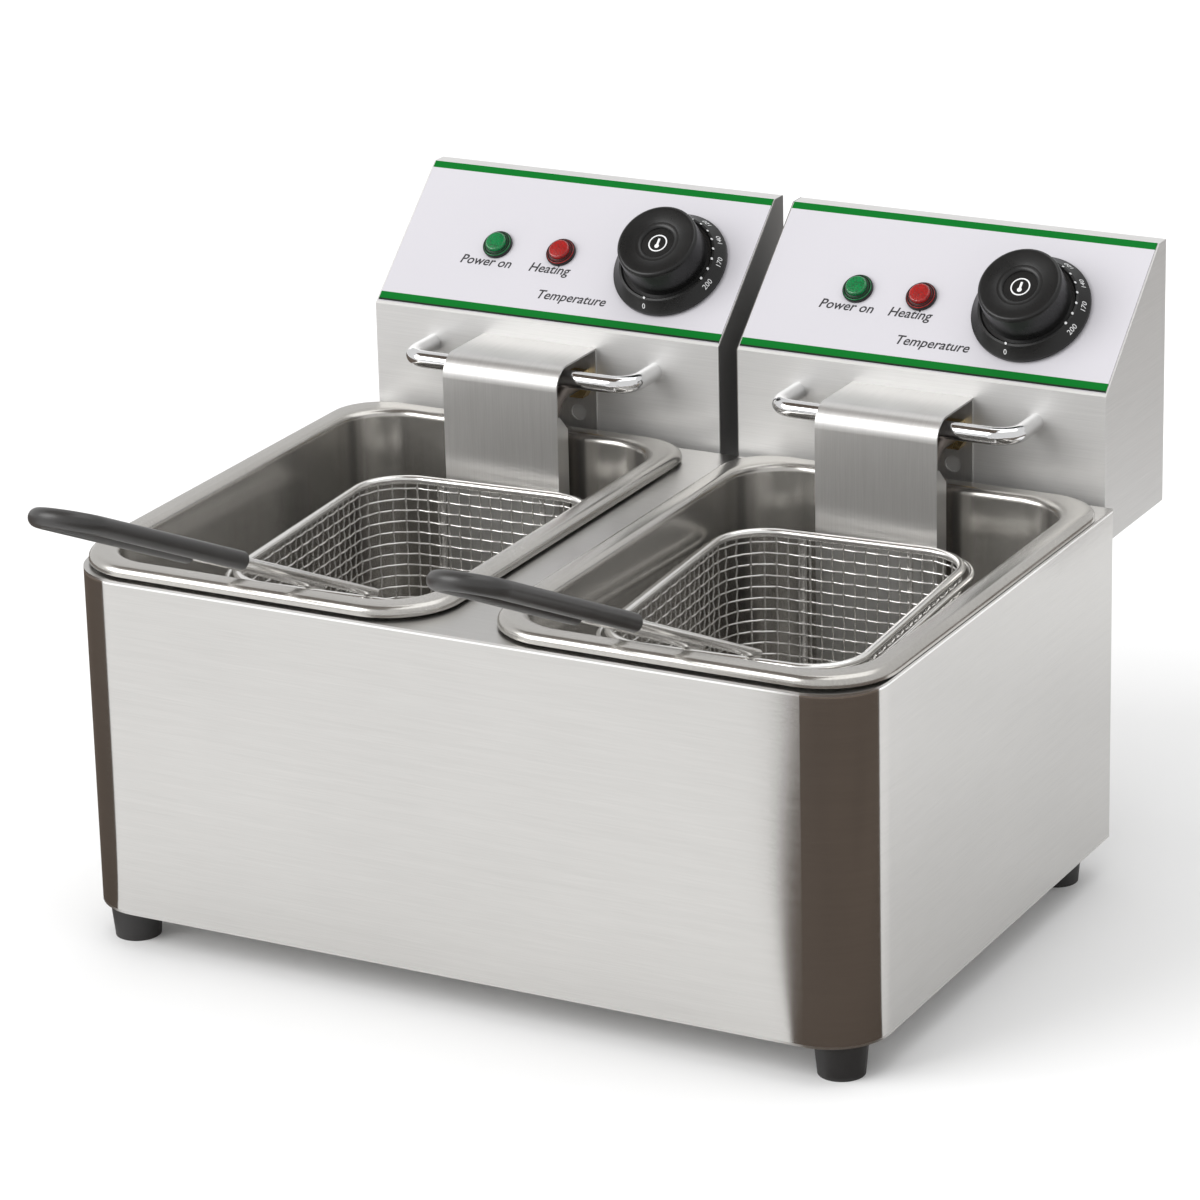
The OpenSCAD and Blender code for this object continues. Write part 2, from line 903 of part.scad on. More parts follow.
// One half of the element: leg, drop, outer run, return run.
module element_half() {
    half = element_legs / 2;
    translate([half, leg_y + element_bend, element_z])
        rod_y(element_tube, terminal_end - leg_y - element_bend);
    translate([half, leg_y + element_bend, element_z - element_bend])
        rotate([90, 0, -90])
            quarter(element_bend, element_tube);
    translate([half, leg_y, loop_z + element_bend])
        cylinder(h = element_z - loop_z - 2 * element_bend, d = element_tube);
    translate([half, leg_y - element_bend, loop_z + element_bend])
        rotate([90, 0, -90])
            rotate(180)
                quarter(element_bend, element_tube);
    translate([half + loop_bend, leg_y - element_bend, loop_z])
        rotate(180)
            quarter(loop_bend, element_tube);
    translate([(half + loop_outer) / 2, loop_rear, loop_z])
        rod_x(element_tube, loop_outer - half - 2 * loop_bend);
    translate([loop_outer - loop_bend, loop_rear - loop_bend, loop_z])
        quarter(loop_bend, element_tube);
    translate([loop_outer, loop_front, loop_z])
        rod_y(element_tube, loop_rear - loop_bend - loop_front);
    translate([half + element_loop / 2, loop_front, loop_z])
        for (k = [180, 270])
            rotate(k)
                quarter(element_loop / 2, element_tube);
    translate([half, loop_front, loop_z])
        rod_y(element_tube, middle_turn - loop_front);
    translate([0, middle_turn, loop_z])
        quarter(half, element_tube);
}

module element(side) {
    color([0.45, 0.42, 0.40])
        at_head(side)
            translate([shield_offset, 0, 0]) {
                element_half();
                mirror([1, 0, 0])
                    element_half();
            }
}

// A nut either side of the sheets clamps each leg and the shield with it.
module element_nuts(side) {
    color(brass)
        at_head(side)
            leg_places()
                for (y = [-shield_sheet - nut_deep, sheet])
                    translate([0, y, 0])
                        difference() {
                            rotate([-90, 0, 0])
                                cylinder(h = nut_deep, d = nut_hex, $fn = 6);
                            translate([0, -1, 0])
                                rod_y(element_tube + 2 * running_fit, nut_deep + 2);
                        }
}

// Capillary from the head down to a bulb behind the shield front plate
module sensor(side) {
    drop = leg_y + 4;
    bend = 8;
    bulb_low = shield_low + 6;
    color([0.72, 0.45, 0.30])
        at_head(side)
            translate([shield_offset, 0, 0]) {
                translate([0, drop + bend, element_z])
                    rod_y(capillary, head_front + 10 - drop - bend);
                translate([0, drop + bend, element_z - bend])
                    rotate([90, 0, -90])
                        quarter(bend, capillary);
                translate([0, drop, bulb_low])
                    cylinder(h = element_z - bend - bulb_low, d = capillary);
                translate([0, drop, bulb_low])
                    cylinder(h = 70, d = bulb_diameter);
            }
}

// ---------- rear fittings of the heads ----------

module cutout(side) {
    color(dark)
        at_head(side)
            translate([reset_x, casing_rear, reset_z])
                difference() {
                    union() {
                        translate([0, -20, 0])
                            rod_y(18, 20);
                        translate([0, -tiny, 0])
                            rod_y(cutout_bush, sheet + 3);
                    }
                    translate([0, -reset_travel - 4, 0])
                        rod_y(reset_button_size + 2 * running_fit, 20);
                }
}

module reset_button(side) {
    color([0.65, 0.08, 0.06])
        at_head(side)
            translate([reset_x, casing_rear - 3.6, reset_z])
                rod_y(reset_button_size, 3.6 + sheet + 3 + reset_travel + 1);
}

// Gland with a through bore for the supply lead and a nut inside the cover
module gland(side) {
    color(black)
        at_head(side)
            translate([gland_x, 0, gland_z])
                difference() {
                    union() {
                        translate([0, casing_rear - 5, 0])
                            rotate([-90, 0, 0])
                                cylinder(h = 5, d = 21, $fn = 6);
                        translate([0, casing_rear - 7, 0])
                            rod_y(gland_barrel, sheet + 9);
                        translate([0, head_rear, 0])
                            rotate([-90, 0, 0])
                                cylinder(h = 5, d = 22, $fn = 6);
                        translate([0, head_rear + 5 - tiny, 0])
                            rotate([-90, 0, 0])
                                cylinder(h = gland_reach - 5 + tiny, d1 = 18, d2 = 13);
                    }
                    translate([0, casing_rear - 10, 0])
                        rod_y(8, 60);
                }
}

// Hanging bracket: flange on the head, a turn over the rail and a tongue inside it
module bracket(side) {
    tongue_y = housing_depth + slide_gap;
    flange_y = head_front - sheet;
    wide = rail_pocket - 2 * slide_gap;
    color(steel)
        at_head(side)
            translate([-wide / 2, 0, 0])
                rotate([90, 0, 90])
                    linear_extrude(wide) {
                        translate([tongue_y, tongue_foot])
                            square([sheet, tongue_top - tongue_foot]);
                        translate([tongue_y, tongue_top - sheet])
                            square([head_front - tongue_y, sheet]);
                        translate([flange_y, head_bottom + 2])
                            square([sheet, tongue_top - head_bottom - 2]);
                    }
}

// ---------- baskets ----------

// Rim wire, outer ring wire and two runners under the floor
module basket_frame(side) {
    out = mesh_out + runner_wire / 2;
    run_l = basket_length / 2 + out;
    color(bright)
        at_basket(side) {
            translate([0, 0, rim_z])
                swept(basket_width, basket_length, basket_corner)
                    circle(d = rim_wire);
            translate([0, 0, rim_z - ring_drop])
                swept(basket_width + 2 * ring_out, basket_length + 2 * ring_out,
                    basket_corner + ring_out)
                    circle(d = ring_wire);
            for (sx = [-1, 1])
                translate([sx * runner_place, 0, 0]) {
                    for (sy = [-1, 1]) {
                        translate([0, sy * run_l, runner_foot + runner_wire / 2 + mesh_bend])
                            cylinder(h = rim_z - 1.2 - runner_foot - runner_wire / 2 - mesh_bend,
                                d = runner_wire);
                        translate([0, sy * (run_l - mesh_bend),
                            runner_foot + runner_wire / 2 + mesh_bend])
                            rotate([90, 0, sy > 0 ? 90 : -90])
                                rotate(-90)
                                    quarter(mesh_bend, runner_wire);
                    }
                    translate([0, mesh_bend - run_l, runner_foot + runner_wire / 2])
                        rod_y(runner_wire, 2 * (run_l - mesh_bend));
                }
        }
}

// The woven wire as a thin tub: walls, bottom bend and floor
module basket_mesh(side) {
    inner_bend = mesh_bend - runner_wire / 2 - mesh_wall;
    wall_w = basket_width - mesh_wall;
    wall_l = basket_length - mesh_wall;
    corner = basket_corner - mesh_out;
    color([0.75, 0.75, 0.75])
        at_basket(side) {
            swept(wall_w, wall_l, corner) {
                translate([0, mesh_foot + mesh_wall + inner_bend])
                    square([mesh_wall, mesh_top - mesh_foot - mesh_wall - inner_bend]);
                intersection() {
                    translate([-inner_bend, mesh_foot + mesh_wall + inner_bend])
                        difference() {
                            circle(inner_bend + mesh_wall);
                            circle(inner_bend);
                        }
                    translate([-inner_bend, mesh_foot - mesh_wall])
                        square([inner_bend + mesh_wall, inner_bend + 2 * mesh_wall]);
                }
            }
            translate([0, 0, mesh_foot])
                linear_extrude(mesh_wall)
                    round_rect(wall_w - 2 * inner_bend, wall_l - 2 * inner_bend,
                        corner - inner_bend);
        }
}

// Local frame of a handle: Y runs out along the handle, X across it. The handle leans
// within the rising plane, which keeps both wires on the rim wire.
module on_handle(side) {
    at_basket(side)
        translate([0, -basket_length / 2, rim_z + handle_over])
            rotate(180)
                rotate([handle_rise, 0, 0])
                    rotate(-handle_lean)
                        children();
}

module basket_handle(side) {
    color(bright)
        on_handle(side) {
            for (sx = [-1, 1])
                translate([sx * handle_span / 2, -handle_inside, 0])
                    rod_y(handle_wire, handle_length - tip_radius + handle_inside);
            translate([0, handle_length - tip_radius, 0])
                for (k = [0, 90])
                    rotate(k)
                        quarter(tip_radius, handle_wire);
        }
}

// Sleeve round the looped end, open at both bare wires
module grip(side) {
    wire_bore = handle_wire + 2 * running_fit;
    straight = handle_length - tip_radius - handle_bare;
    color([0.12, 0.12, 0.12])
        on_handle(side) {
            for (sx = [-1, 1])
                translate([sx * handle_span / 2, handle_bare, 0])
                    rotate([-90, 0, 0])
                        linear_extrude(straight)
                            sleeve_ring(wire_bore);
            translate([0, handle_length - tip_radius, 0])
                rotate_extrude(angle = 180)
                    translate([tip_radius, 0])
                        sleeve_ring(wire_bore);
        }
}

module sleeve_ring(bore) {
    difference() {
        circle(d = grip_diameter);
        circle(d = bore);
    }
}

// ---------- named parts of each side ----------

module left_head_casing() { head_casing(-1); }
module right_head_casing() { head_casing(1); }
module left_back_cover() { back_cover(-1); }
module right_back_cover() { back_cover(1); }
module left_cover_screws() { cover_screws(-1); }
module right_cover_screws() { cover_screws(1); }
module left_label() { label(-1); }
module right_label() { label(1); }
module left_knob() { knob(-1); }
module right_knob() { knob(1); }
module left_spindle() { spindle(-1); }
module right_spindle() { spindle(1); }
module left_thermostat() { thermostat(-1); }
module right_thermostat() { thermostat(1); }
module left_lamp_bodies() { lamp_bodies(-1); }
module right_lamp_bodies() { lamp_bodies(1); }
module left_green_lens() { lens(-1, green_place, green); }
module right_green_lens() { lens(1, green_place, green); }
module left_red_lens() { lens(-1, red_place, red); }
module right_red_lens() { lens(1, red_place, red); }
module left_lift_handle() { lift_handle(-1); }
module right_lift_handle() { lift_handle(1); }
module left_handle_nuts() { handle_nuts(-1); }
module right_handle_nuts() { handle_nuts(1); }
module left_shield() { shield(-1); }
module right_shield() { shield(1); }
module left_element() { element(-1); }
module right_element() { element(1); }
module left_element_nuts() { element_nuts(-1); }
module right_element_nuts() { element_nuts(1); }
module left_sensor() { sensor(-1); }
module right_sensor() { sensor(1); }
module left_cutout() { cutout(-1); }
module right_cutout() { cutout(1); }
module left_reset_button() { reset_button(-1); }
module right_reset_button() { reset_button(1); }
module left_bracket() { bracket(-1); }
module right_bracket() { bracket(1); }
module left_gland() { gland(-1); }
module right_gland() { gland(1); }
module left_basket_frame() { basket_frame(-1); }
module right_basket_frame() { basket_frame(1); }
module left_basket_mesh() { basket_mesh(-1); }
module right_basket_mesh() { basket_mesh(1); }
module left_basket_handle() { basket_handle(-1); }
module right_basket_handle() { basket_handle(1); }
module left_grip() { grip(-1); }
module right_grip() { grip(1); }

housing_shell();
top_deck();
base_plate();
rear_panel();
rear_rails();
rubber_feet();
foot_screws();
panel_screws();
left_tank();
right_tank();
left_head_casing();
right_head_casing();
left_back_cover();
right_back_cover();
left_cover_screws();
right_cover_screws();
left_label();
right_label();
left_knob();
right_knob();
left_spindle();
right_spindle();
left_thermostat();
right_thermostat();
left_lamp_bodies();
right_lamp_bodies();
left_green_lens();
right_green_lens();
left_red_lens();
right_red_lens();
left_lift_handle();
right_lift_handle();
left_handle_nuts();
right_handle_nuts();
left_shield();
right_shield();
left_element();
right_element();
left_element_nuts();
right_element_nuts();
left_sensor();
right_sensor();
left_cutout();
right_cutout();
left_reset_button();
right_reset_button();
left_bracket();
right_bracket();
left_gland();
right_gland();
left_basket_frame();
right_basket_frame();
left_basket_mesh();
right_basket_mesh();
left_basket_handle();
right_basket_handle();
left_grip();
right_grip();
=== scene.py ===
import math

import bmesh
import bpy
import numpy as np
from mathutils import Matrix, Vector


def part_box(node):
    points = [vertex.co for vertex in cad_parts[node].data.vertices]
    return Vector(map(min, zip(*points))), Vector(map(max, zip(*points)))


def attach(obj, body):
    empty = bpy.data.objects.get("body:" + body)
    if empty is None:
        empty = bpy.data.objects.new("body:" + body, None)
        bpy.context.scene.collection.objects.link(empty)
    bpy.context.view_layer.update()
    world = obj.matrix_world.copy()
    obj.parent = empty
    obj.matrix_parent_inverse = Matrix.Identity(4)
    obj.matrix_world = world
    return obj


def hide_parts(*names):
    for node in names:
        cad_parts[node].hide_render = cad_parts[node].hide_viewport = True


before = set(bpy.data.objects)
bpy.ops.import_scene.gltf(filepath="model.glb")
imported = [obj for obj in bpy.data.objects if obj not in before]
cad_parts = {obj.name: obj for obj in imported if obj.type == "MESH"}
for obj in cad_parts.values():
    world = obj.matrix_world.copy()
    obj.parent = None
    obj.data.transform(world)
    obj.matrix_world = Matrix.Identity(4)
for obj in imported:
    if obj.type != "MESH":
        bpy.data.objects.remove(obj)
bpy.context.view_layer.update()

# Twin-well deep fryer. All lengths here are metres, in the frame of the CAD nodes.
# Depths are counted from the front face of the housing, as in the part's source.
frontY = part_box("housing_shell")[0].y
sides = {"left": -1, "right": 1}
print("frame loaded:", len(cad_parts), "nodes")


# Mesh helpers: every shape is a grid of rings worked out as whole arrays

def frameAt(origin, xAxis, yAxis, zAxis):
    # 4x4 matrix whose columns are three unit axes and an origin
    m = np.eye(4)
    m[:3, 0], m[:3, 1], m[:3, 2], m[:3, 3] = xAxis, yAxis, zAxis, origin
    return m


def turned(origin, degrees):
    # upright frame at origin, turned about Z by an angle in degrees
    c, s = math.cos(math.radians(degrees)), math.sin(math.radians(degrees))
    return frameAt(origin, (c, s, 0), (-s, c, 0), (0, 0, 1))


def carried(points, m):
    # each point times the frame's rotation, plus its origin
    return points @ m[:3, :3].T + m[:3, 3]


def unit(v):
    # a vector divided by its length
    return v / np.linalg.norm(v, axis=-1, keepdims=True)


def arc(middle, half, start, end, count):
    # points (x, z) on an ellipse: middle plus half width times cosine, half height times sine
    a = np.radians(np.linspace(start, end, count))
    return list(zip(middle[0] + half[0] * np.cos(a), middle[1] + half[1] * np.sin(a)))


def tubeRings(paths, radius, flat, count, closed):
    # a circle of the given radius round each path point, in the plane spanned by
    # the path's flat direction and flat x tangent
    if closed:
        tangent = unit(np.roll(paths, -1, 1) - np.roll(paths, 1, 1))
    else:
        tangent = unit(np.gradient(paths, axis=1))
    across = unit(np.cross(np.broadcast_to(np.asarray(flat, float), paths.shape), tangent))
    up = unit(np.cross(tangent, across))
    a = np.arange(count) * 2 * np.pi / count
    around = np.cos(a)[:, None] * across[:, :, None] + np.sin(a)[:, None] * up[:, :, None]
    return paths[:, :, None] + radius * around


def gridFaces(strips, rings, count, closed, flip=False):
    # quads between neighbouring rings; the rings are closed round, the strips may be
    last = rings if closed else rings - 1
    s, i, j = np.meshgrid(np.arange(strips), np.arange(last), np.arange(count), indexing="ij")
    here, ahead = (s * rings + i) * count, (s * rings + (i + 1) % rings) * count
    besides = (j + 1) % count
    faces = np.stack([here + j, ahead + j, ahead + besides, here + besides], -1).reshape(-1, 4)
    sets = [faces if flip else faces[:, ::-1]]
    if not closed:
        start = np.arange(strips)[:, None] * rings * count
        first = start + np.arange(count)[None, :]
        end = start + (rings - 1) * count + np.arange(count)[None, ::-1]
        caps = np.concatenate([first, end])
        sets.append(caps if flip else caps[:, ::-1])
    return sets


def revolved(profile, m, count=48):
    # profile points (radius, height) turned round the frame's Z axis, ends capped flat
    r, z = np.asarray(profile, float).T[:, :, None]
    a = np.arange(count) * 2 * np.pi / count
    ring = np.stack([r * np.cos(a), r * np.sin(a), np.broadcast_to(z, (len(r), count))], -1)
    return carried(ring.reshape(-1, 3), m), gridFaces(1, len(r), count, False)


def addMesh(name, parts, body, paint, sharp=40, replaces=()):
    # parts are (points, face arrays); they become one mesh that rides on a body
    verts, starts, loops, at, used = [], [], [], 0, 0
    for points, sets in parts:
        points = np.asarray(points, float).reshape(-1, 3)
        for faces in sets:
            loops.append((faces + at).ravel())
            starts.append(used + np.arange(len(faces)) * faces.shape[1])
            used += faces.size
        verts.append(points)
        at += len(points)
    verts, loops, starts = np.concatenate(verts), np.concatenate(loops), np.concatenate(starts)
    mesh = bpy.data.meshes.new(name)
    mesh.vertices.add(len(verts))
    mesh.vertices.foreach_set("co", verts.astype(np.float32).ravel())
    mesh.loops.add(len(loops))
    mesh.loops.foreach_set("vertex_index", loops.astype(np.int32))
    mesh.polygons.add(len(starts))
    mesh.polygons.foreach_set("loop_start", starts.astype(np.int32))
    mesh.update(calc_edges=True)
    mesh.validate()
    mesh.polygons.foreach_set("use_smooth", np.ones(len(mesh.polygons), bool))
    mesh.set_sharp_from_angle(angle=math.radians(sharp))
    mesh.materials.append(paint)
    piece = bpy.data.objects.new(name, mesh)
    bpy.context.scene.collection.objects.link(piece)
    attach(piece, body)
    if replaces:
        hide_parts(*replaces)
    return piece


# Shader helpers

class Val:
    # a shader number that takes Python arithmetic; each operator adds one Math node
    def __init__(self, tree, socket):
        self.tree, self.socket = tree, socket

    def calc(self, operation, *values, clamp=False):
        n = self.tree.nodes.new("ShaderNodeMath")
        n.operation, n.use_clamp = operation, clamp
        for k, v in enumerate(values):
            if isinstance(v, Val):
                self.tree.links.new(v.socket, n.inputs[k])
            else:
                n.inputs[k].default_value = v
        return Val(self.tree, n.outputs[0])

    def __add__(self, o): return self.calc("ADD", self, o)
    def __radd__(self, o): return self.calc("ADD", o, self)
    def __sub__(self, o): return self.calc("SUBTRACT", self, o)
    def __rsub__(self, o): return self.calc("SUBTRACT", o, self)
    def __mul__(self, o): return self.calc("MULTIPLY", self, o)
    def __rmul__(self, o): return self.calc("MULTIPLY", o, self)
    def __gt__(self, o): return self.calc("GREATER_THAN", self, o)
    def __lt__(self, o): return self.calc("LESS_THAN", self, o)

    def size(self):
        return self.calc("ABSOLUTE", self)

    def clamped(self):
        return self.calc("ADD", self, 0.0, clamp=True)

    def band(self, low, high):
        # one between low and high, zero outside
        return (self > low) * (self < high)


class Paint:
    # a Principled material; fixed values are set on its sockets, the rest is linked
    def __init__(self, name, **fixed):
        self.material = bpy.data.materials.new(name)
        self.material.use_nodes = True
        self.tree = self.material.node_tree
        self.shader = self.tree.nodes["Principled BSDF"]
        for key, value in fixed.items():
            self.shader.inputs[key.replace("_", " ")].default_value = value

    def node(self, kind, settings=None, inputs=None, out=0):
        n = self.tree.nodes.new(kind)
        for key, value in (settings or {}).items():
            setattr(n, key, value)
        for key, value in (inputs or {}).items():
            if isinstance(value, Val):
                self.tree.links.new(value.socket, n.inputs[key])
            else:
                n.inputs[key].default_value = value
        return Val(self.tree, n.outputs[out])

    def place(self, scale):
        # Object coordinates times one number, or times one for each axis
        here = self.node("ShaderNodeTexCoord", out="Object")
        scale = scale if isinstance(scale, tuple) else (scale,) * 3
        return self.node("ShaderNodeMapping", None, {"Vector": here, "Scale": scale})

    def xyz(self):
        here = self.node("ShaderNodeTexCoord", out="Object")
        first = self.node("ShaderNodeSeparateXYZ", None, {"Vector": here})
        return [Val(self.tree, s) for s in first.socket.node.outputs]

    def noise(self, scale, detail=2.0, rough=0.5):
        sockets = {"Vector": self.place(scale), "Scale": 1.0, "Detail": detail, "Roughness": rough}
        return self.node("ShaderNodeTexNoise", None, sockets)

    def mix(self, factor, a, b):
        # a at factor 0, b at factor 1; the colours are links or three numbers
        a, b = ((*c, 1) if isinstance(c, tuple) else c for c in (a, b))
        return self.node("ShaderNodeMix", {"data_type": "RGBA"}, {0: factor, 6: a, 7: b}, out=2)

    def feed(self, **links):
        for key, value in links.items():
            self.tree.links.new(value.socket, self.shader.inputs[key.replace("_", " ")])
        return self

    def bump(self, height, depth, strength):
        sockets = {"Height": height, "Distance": depth, "Strength": strength}
        return self.feed(Normal=self.node("ShaderNodeBump", None, sockets))


def varied(middle, *patterns):
    # a middle value plus, for each pattern, its weight times its departure from a half
    for weight, pattern in patterns:
        middle = middle + weight * (pattern - 0.5)
    return middle


# Finishes

brushing = {
    "wider": 7, "cloud": 7, "wear": 0.03, "depth": 0.00003, "strength": 0.5,
    # painted shade: the dark colour here darkens the side walls between the heads
    "baked": (0.20, 0.196, 0.19), "polished": (0.93, 0.925, 0.915), "foldHeight": 0.0010,
}


def brushed(name, grain, dark, light, rough, metallic=1.0, gap=0, fold=0):
    # streaks drawn out along the brushing: fine lines, wider lines and soft clouds
    s, p = brushing, Paint(name, Metallic=metallic)
    fine = p.noise(grain, 2.0, 0.6)
    wide = p.noise(tuple(g / s["wider"] for g in grain), 2.0, 0.55)
    cloud = p.noise(s["cloud"], 3.0)
    tone = varied(0.5, (1.0, fine), (0.35, wide), (0.45, cloud)).clamped()
    colour = p.mix(tone, dark, light)
    if gap:
        # painted shade: the two side walls that face each other between the heads are darkened, standing in
        # for the shade that falls there
        colour = p.mix(p.xyz()[0].size() < gap, colour, s["baked"])
    if fold:
        # painted highlight: a thin band along the folded top edge is lightened, standing in for the fold's
        # highlight
        colour = p.mix(p.xyz()[2] > fold, colour, s["polished"])
    p.feed(Base_Color=colour, Roughness=varied(rough, (s["wear"], wide), (s["wear"], cloud)))
    p.bump(fine * 0.8 + wide * 0.2, s["depth"], s["strength"])
    return p.material


sheetTones = {"dark": (0.520, 0.511, 0.496), "light": (0.625, 0.615, 0.598)}
brushedSteels = {
    "sheetSteel": {
        **sheetTones, "grain": (35, 35, 2600), "rough": 0.10,
        # painted highlight: the housing is lightened above this level, just under its folded top edge
        "fold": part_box("housing_shell")[1].z - brushing["foldHeight"],
    },
    "deckSteel": {**sheetTones, "grain": (35, 2600, 2600), "rough": 0.30},
    "headSteel": {
        "dark": (0.66, 0.655, 0.645), "light": (0.78, 0.775, 0.765), "grain": (35, 35, 2600),
        # painted shade reaches this far either side of the middle, on the side walls between the heads
        "rough": 0.50, "metallic": 0.72, "gap": 0.0058,
    },
    "shieldSteel": {
        "dark": (0.58, 0.572, 0.56), "light": (0.71, 0.702, 0.69), "grain": (2200, 40, 40),
        "rough": 0.36, "metallic": 0.86,
    },
    "bracketSteel": {
        "dark": (0.42, 0.43, 0.44), "light": (0.62, 0.63, 0.64), "grain": (90, 90, 90), "rough": 0.45,
    },
}

tankSheet = {
    "draw": (700, 700, 14), "cloud": 11, "speck": 1500, "metallic": 0.9, "dark": (0.42, 0.405, 0.38),
    "light": (0.62, 0.605, 0.575), "rough": 0.24, "depth": 0.00001, "strength": 0.2,
}


def drawnSteel():
    # pressed tank sheet: vertical draw marks low down and a satin bloom
    s, p = tankSheet, Paint("tankSteel", Metallic=tankSheet["metallic"])
    draw = p.noise(s["draw"])
    cloud = p.noise(s["cloud"], 3.0, 0.55)
    speck = p.noise(s["speck"], 1.0)
    tone = varied(0.5, (0.5, draw), (0.9, cloud)).clamped()
    rough = varied(s["rough"], (0.16, cloud), (0.08, speck))
    p.feed(Base_Color=p.mix(tone, s["dark"], s["light"]), Roughness=rough)
    p.bump(draw * 0.7 + speck * 0.3, s["depth"], s["strength"])
    return p.material


plating = {"wipe": 60, "pit": 1100, "pitRough": 0.03, "depth": 0.00003}


def plated(name, dark, light, rough, worn=0.08, metallic=1.0, pitted=0.15):
    # bright plating with faint wipe marks and tiny pits
    s, p = plating, Paint(name, Metallic=metallic)
    wipe = p.noise(s["wipe"], 3.0, 0.6)
    pit = p.noise(s["pit"], 1.0)
    surface = varied(rough, (worn, wipe)) + s["pitRough"] * pit
    p.feed(Base_Color=p.mix(wipe, dark, light), Roughness=surface)
    p.bump(pit * 0.5 + wipe * 0.5, s["depth"], pitted)
    return p.material


platings = {
    "chrome": {"dark": (0.74, 0.74, 0.745), "light": (0.86, 0.86, 0.865), "rough": 0.10},
    "wirePlate": {
        "dark": (0.76, 0.75, 0.73), "light": (0.90, 0.89, 0.87), "rough": 0.20, "worn": 0.04,
        "metallic": 0.90, "pitted": 0.02,
    },
    "zinc": {"dark": (0.52, 0.53, 0.55), "light": (0.72, 0.73, 0.75), "rough": 0.28},
    "brass": {"dark": (0.56, 0.40, 0.18), "light": (0.78, 0.60, 0.30), "rough": 0.26},
    "copper": {"dark": (0.50, 0.27, 0.17), "light": (0.74, 0.44, 0.30), "rough": 0.30},
    "heatedTube": {
        "dark": (0.16, 0.14, 0.13), "light": (0.36, 0.32, 0.29), "rough": 0.42, "worn": 0.2,
    },
}

moulding = {"bloom": 45, "strength": 0.5, "specular": 0.5}


def moulded(name, dark, light, rough, grain=1500, depth=0.00003, specular=moulding["specular"]):
    # moulded plastic or rubber: fine spark-eroded grain and a soft rubbed bloom
    s, p = moulding, Paint(name, Specular_IOR_Level=specular)
    fine = p.noise(grain, 2.0, 0.6)
    bloom = p.noise(s["bloom"], 3.0, 0.55)
    tone = varied(0.5, (0.8, bloom), (0.5, fine)).clamped()
    p.feed(Base_Color=p.mix(tone, dark, light), Roughness=varied(rough, (0.14, bloom), (0.1, fine)))
    p.bump(fine, depth, s["strength"])
    return p.material


mouldings = {
    "blackPlastic": {
        "dark": (0.006, 0.006, 0.006), "light": (0.014, 0.014, 0.014), "rough": 0.30, "grain": 1700,
        "depth": 0.00001, "specular": 0.38,
    },
    "rubber": {
        "dark": (0.012, 0.011, 0.011), "light": (0.035, 0.033, 0.032), "rough": 0.62, "grain": 900,
        "depth": 0.00006,
    },
    "vinyl": {
        "dark": (0.022, 0.021, 0.020), "light": (0.048, 0.046, 0.045), "rough": 0.34, "grain": 1300,
        "depth": 0.00002,
    },
    "redPlastic": {"dark": (0.42, 0.02, 0.015), "light": (0.60, 0.04, 0.03), "rough": 0.30},
    "whitePrint": {
        "dark": (0.70, 0.71, 0.72), "light": (0.88, 0.88, 0.88), "rough": 0.5, "grain": 2500,
        "depth": 0.00001,
    },
    "blackPrint": {
        "dark": (0.012, 0.012, 0.014), "light": (0.03, 0.03, 0.034), "rough": 0.5, "grain": 2500,
        "depth": 0.00001,
    },
}

lampPlastic = {
    "prism": 1300, "cloud": 260, "bend": 1.49, "coat": 0.6, "coatRough": 0.06, "glow": 0.22,
    "rough": 0.16, "depth": 0.0002, "strength": 0.5,
}


def tinted(name, deep, bright):
    # coloured lamp plastic: small prisms under a glossy skin
    s = lampPlastic
    p = Paint(name, IOR=s["bend"], Coat_Weight=s["coat"], Coat_Roughness=s["coatRough"],
              Emission_Strength=s["glow"])
    prism = p.node("ShaderNodeTexVoronoi", None, {"Vector": p.place(s["prism"]), "Scale": 1.0})
    cloud = p.noise(s["cloud"])
    tone = (varied(0.25, (0.5, cloud)) + 0.7 * prism).clamped()
    colour = p.mix(tone, bright, deep)
    p.feed(Base_Color=colour, Emission_Color=colour, Roughness=s["rough"] + 0.2 * prism)
    p.bump(prism, s["depth"], s["strength"])
    return p.material


lampTints = {
    "greenLamp": {"deep": (0.0, 0.040, 0.012), "bright": (0.0, 0.30, 0.075)},
    "redLamp": {"deep": (0.10, 0.002, 0.002), "bright": (0.50, 0.012, 0.010)},
}

finish = {"tankSteel": drawnSteel()}
families = ((brushed, brushedSteels), (plated, platings), (moulded, mouldings), (tinted, lampTints))
for maker, table in families:
    for name, values in table.items():
        finish[name] = maker(name, **values)


# Heads: the sloping panel's own frame and its printed film

panel = {
    "front": frontY + 0.3143, "foot": 0.2622, "rise": 63.9, "run": 71.2, "length": 0.09567,
    "width": 0.213, "pitch": 0.2236, "leftSpread": 1.07,
    "row": 0.0455, "green": 0.0564, "red": 0.0935, "knob": 0.157,
    "stripe": 0.0043, "lowStripe": 0.0035, "line": 0.0013, "margin": 0.0002, "film": 0.0005,
    "filmDark": (0.560, 0.547, 0.580), "filmLight": (0.595, 0.581, 0.614),
    "inkDark": (0.0, 0.135, 0.014), "inkLight": (0.0, 0.17, 0.020), "lineInk": (0.015, 0.02, 0.016),
}
lean = math.atan2(panel["run"], panel["rise"])  # slope of the panel, from upright
leanSin, leanCos = math.sin(lean), math.cos(lean)


def onPanel(side, fromLeft, up, out=0.0):
    # frame on the slope: X across, Y up the slope, Z out of the panel
    place = fromLeft * (panel["leftSpread"] if side < 0 else 1.0)
    x = side * panel["pitch"] / 2 + place - panel["width"] / 2
    normal = np.array([0, -leanCos, leanSin])
    foot = np.array([x, panel["front"] + up * leanSin, panel["foot"] + up * leanCos])
    return frameAt(foot + normal * out, (1, 0, 0), (0, leanSin, leanCos), normal)


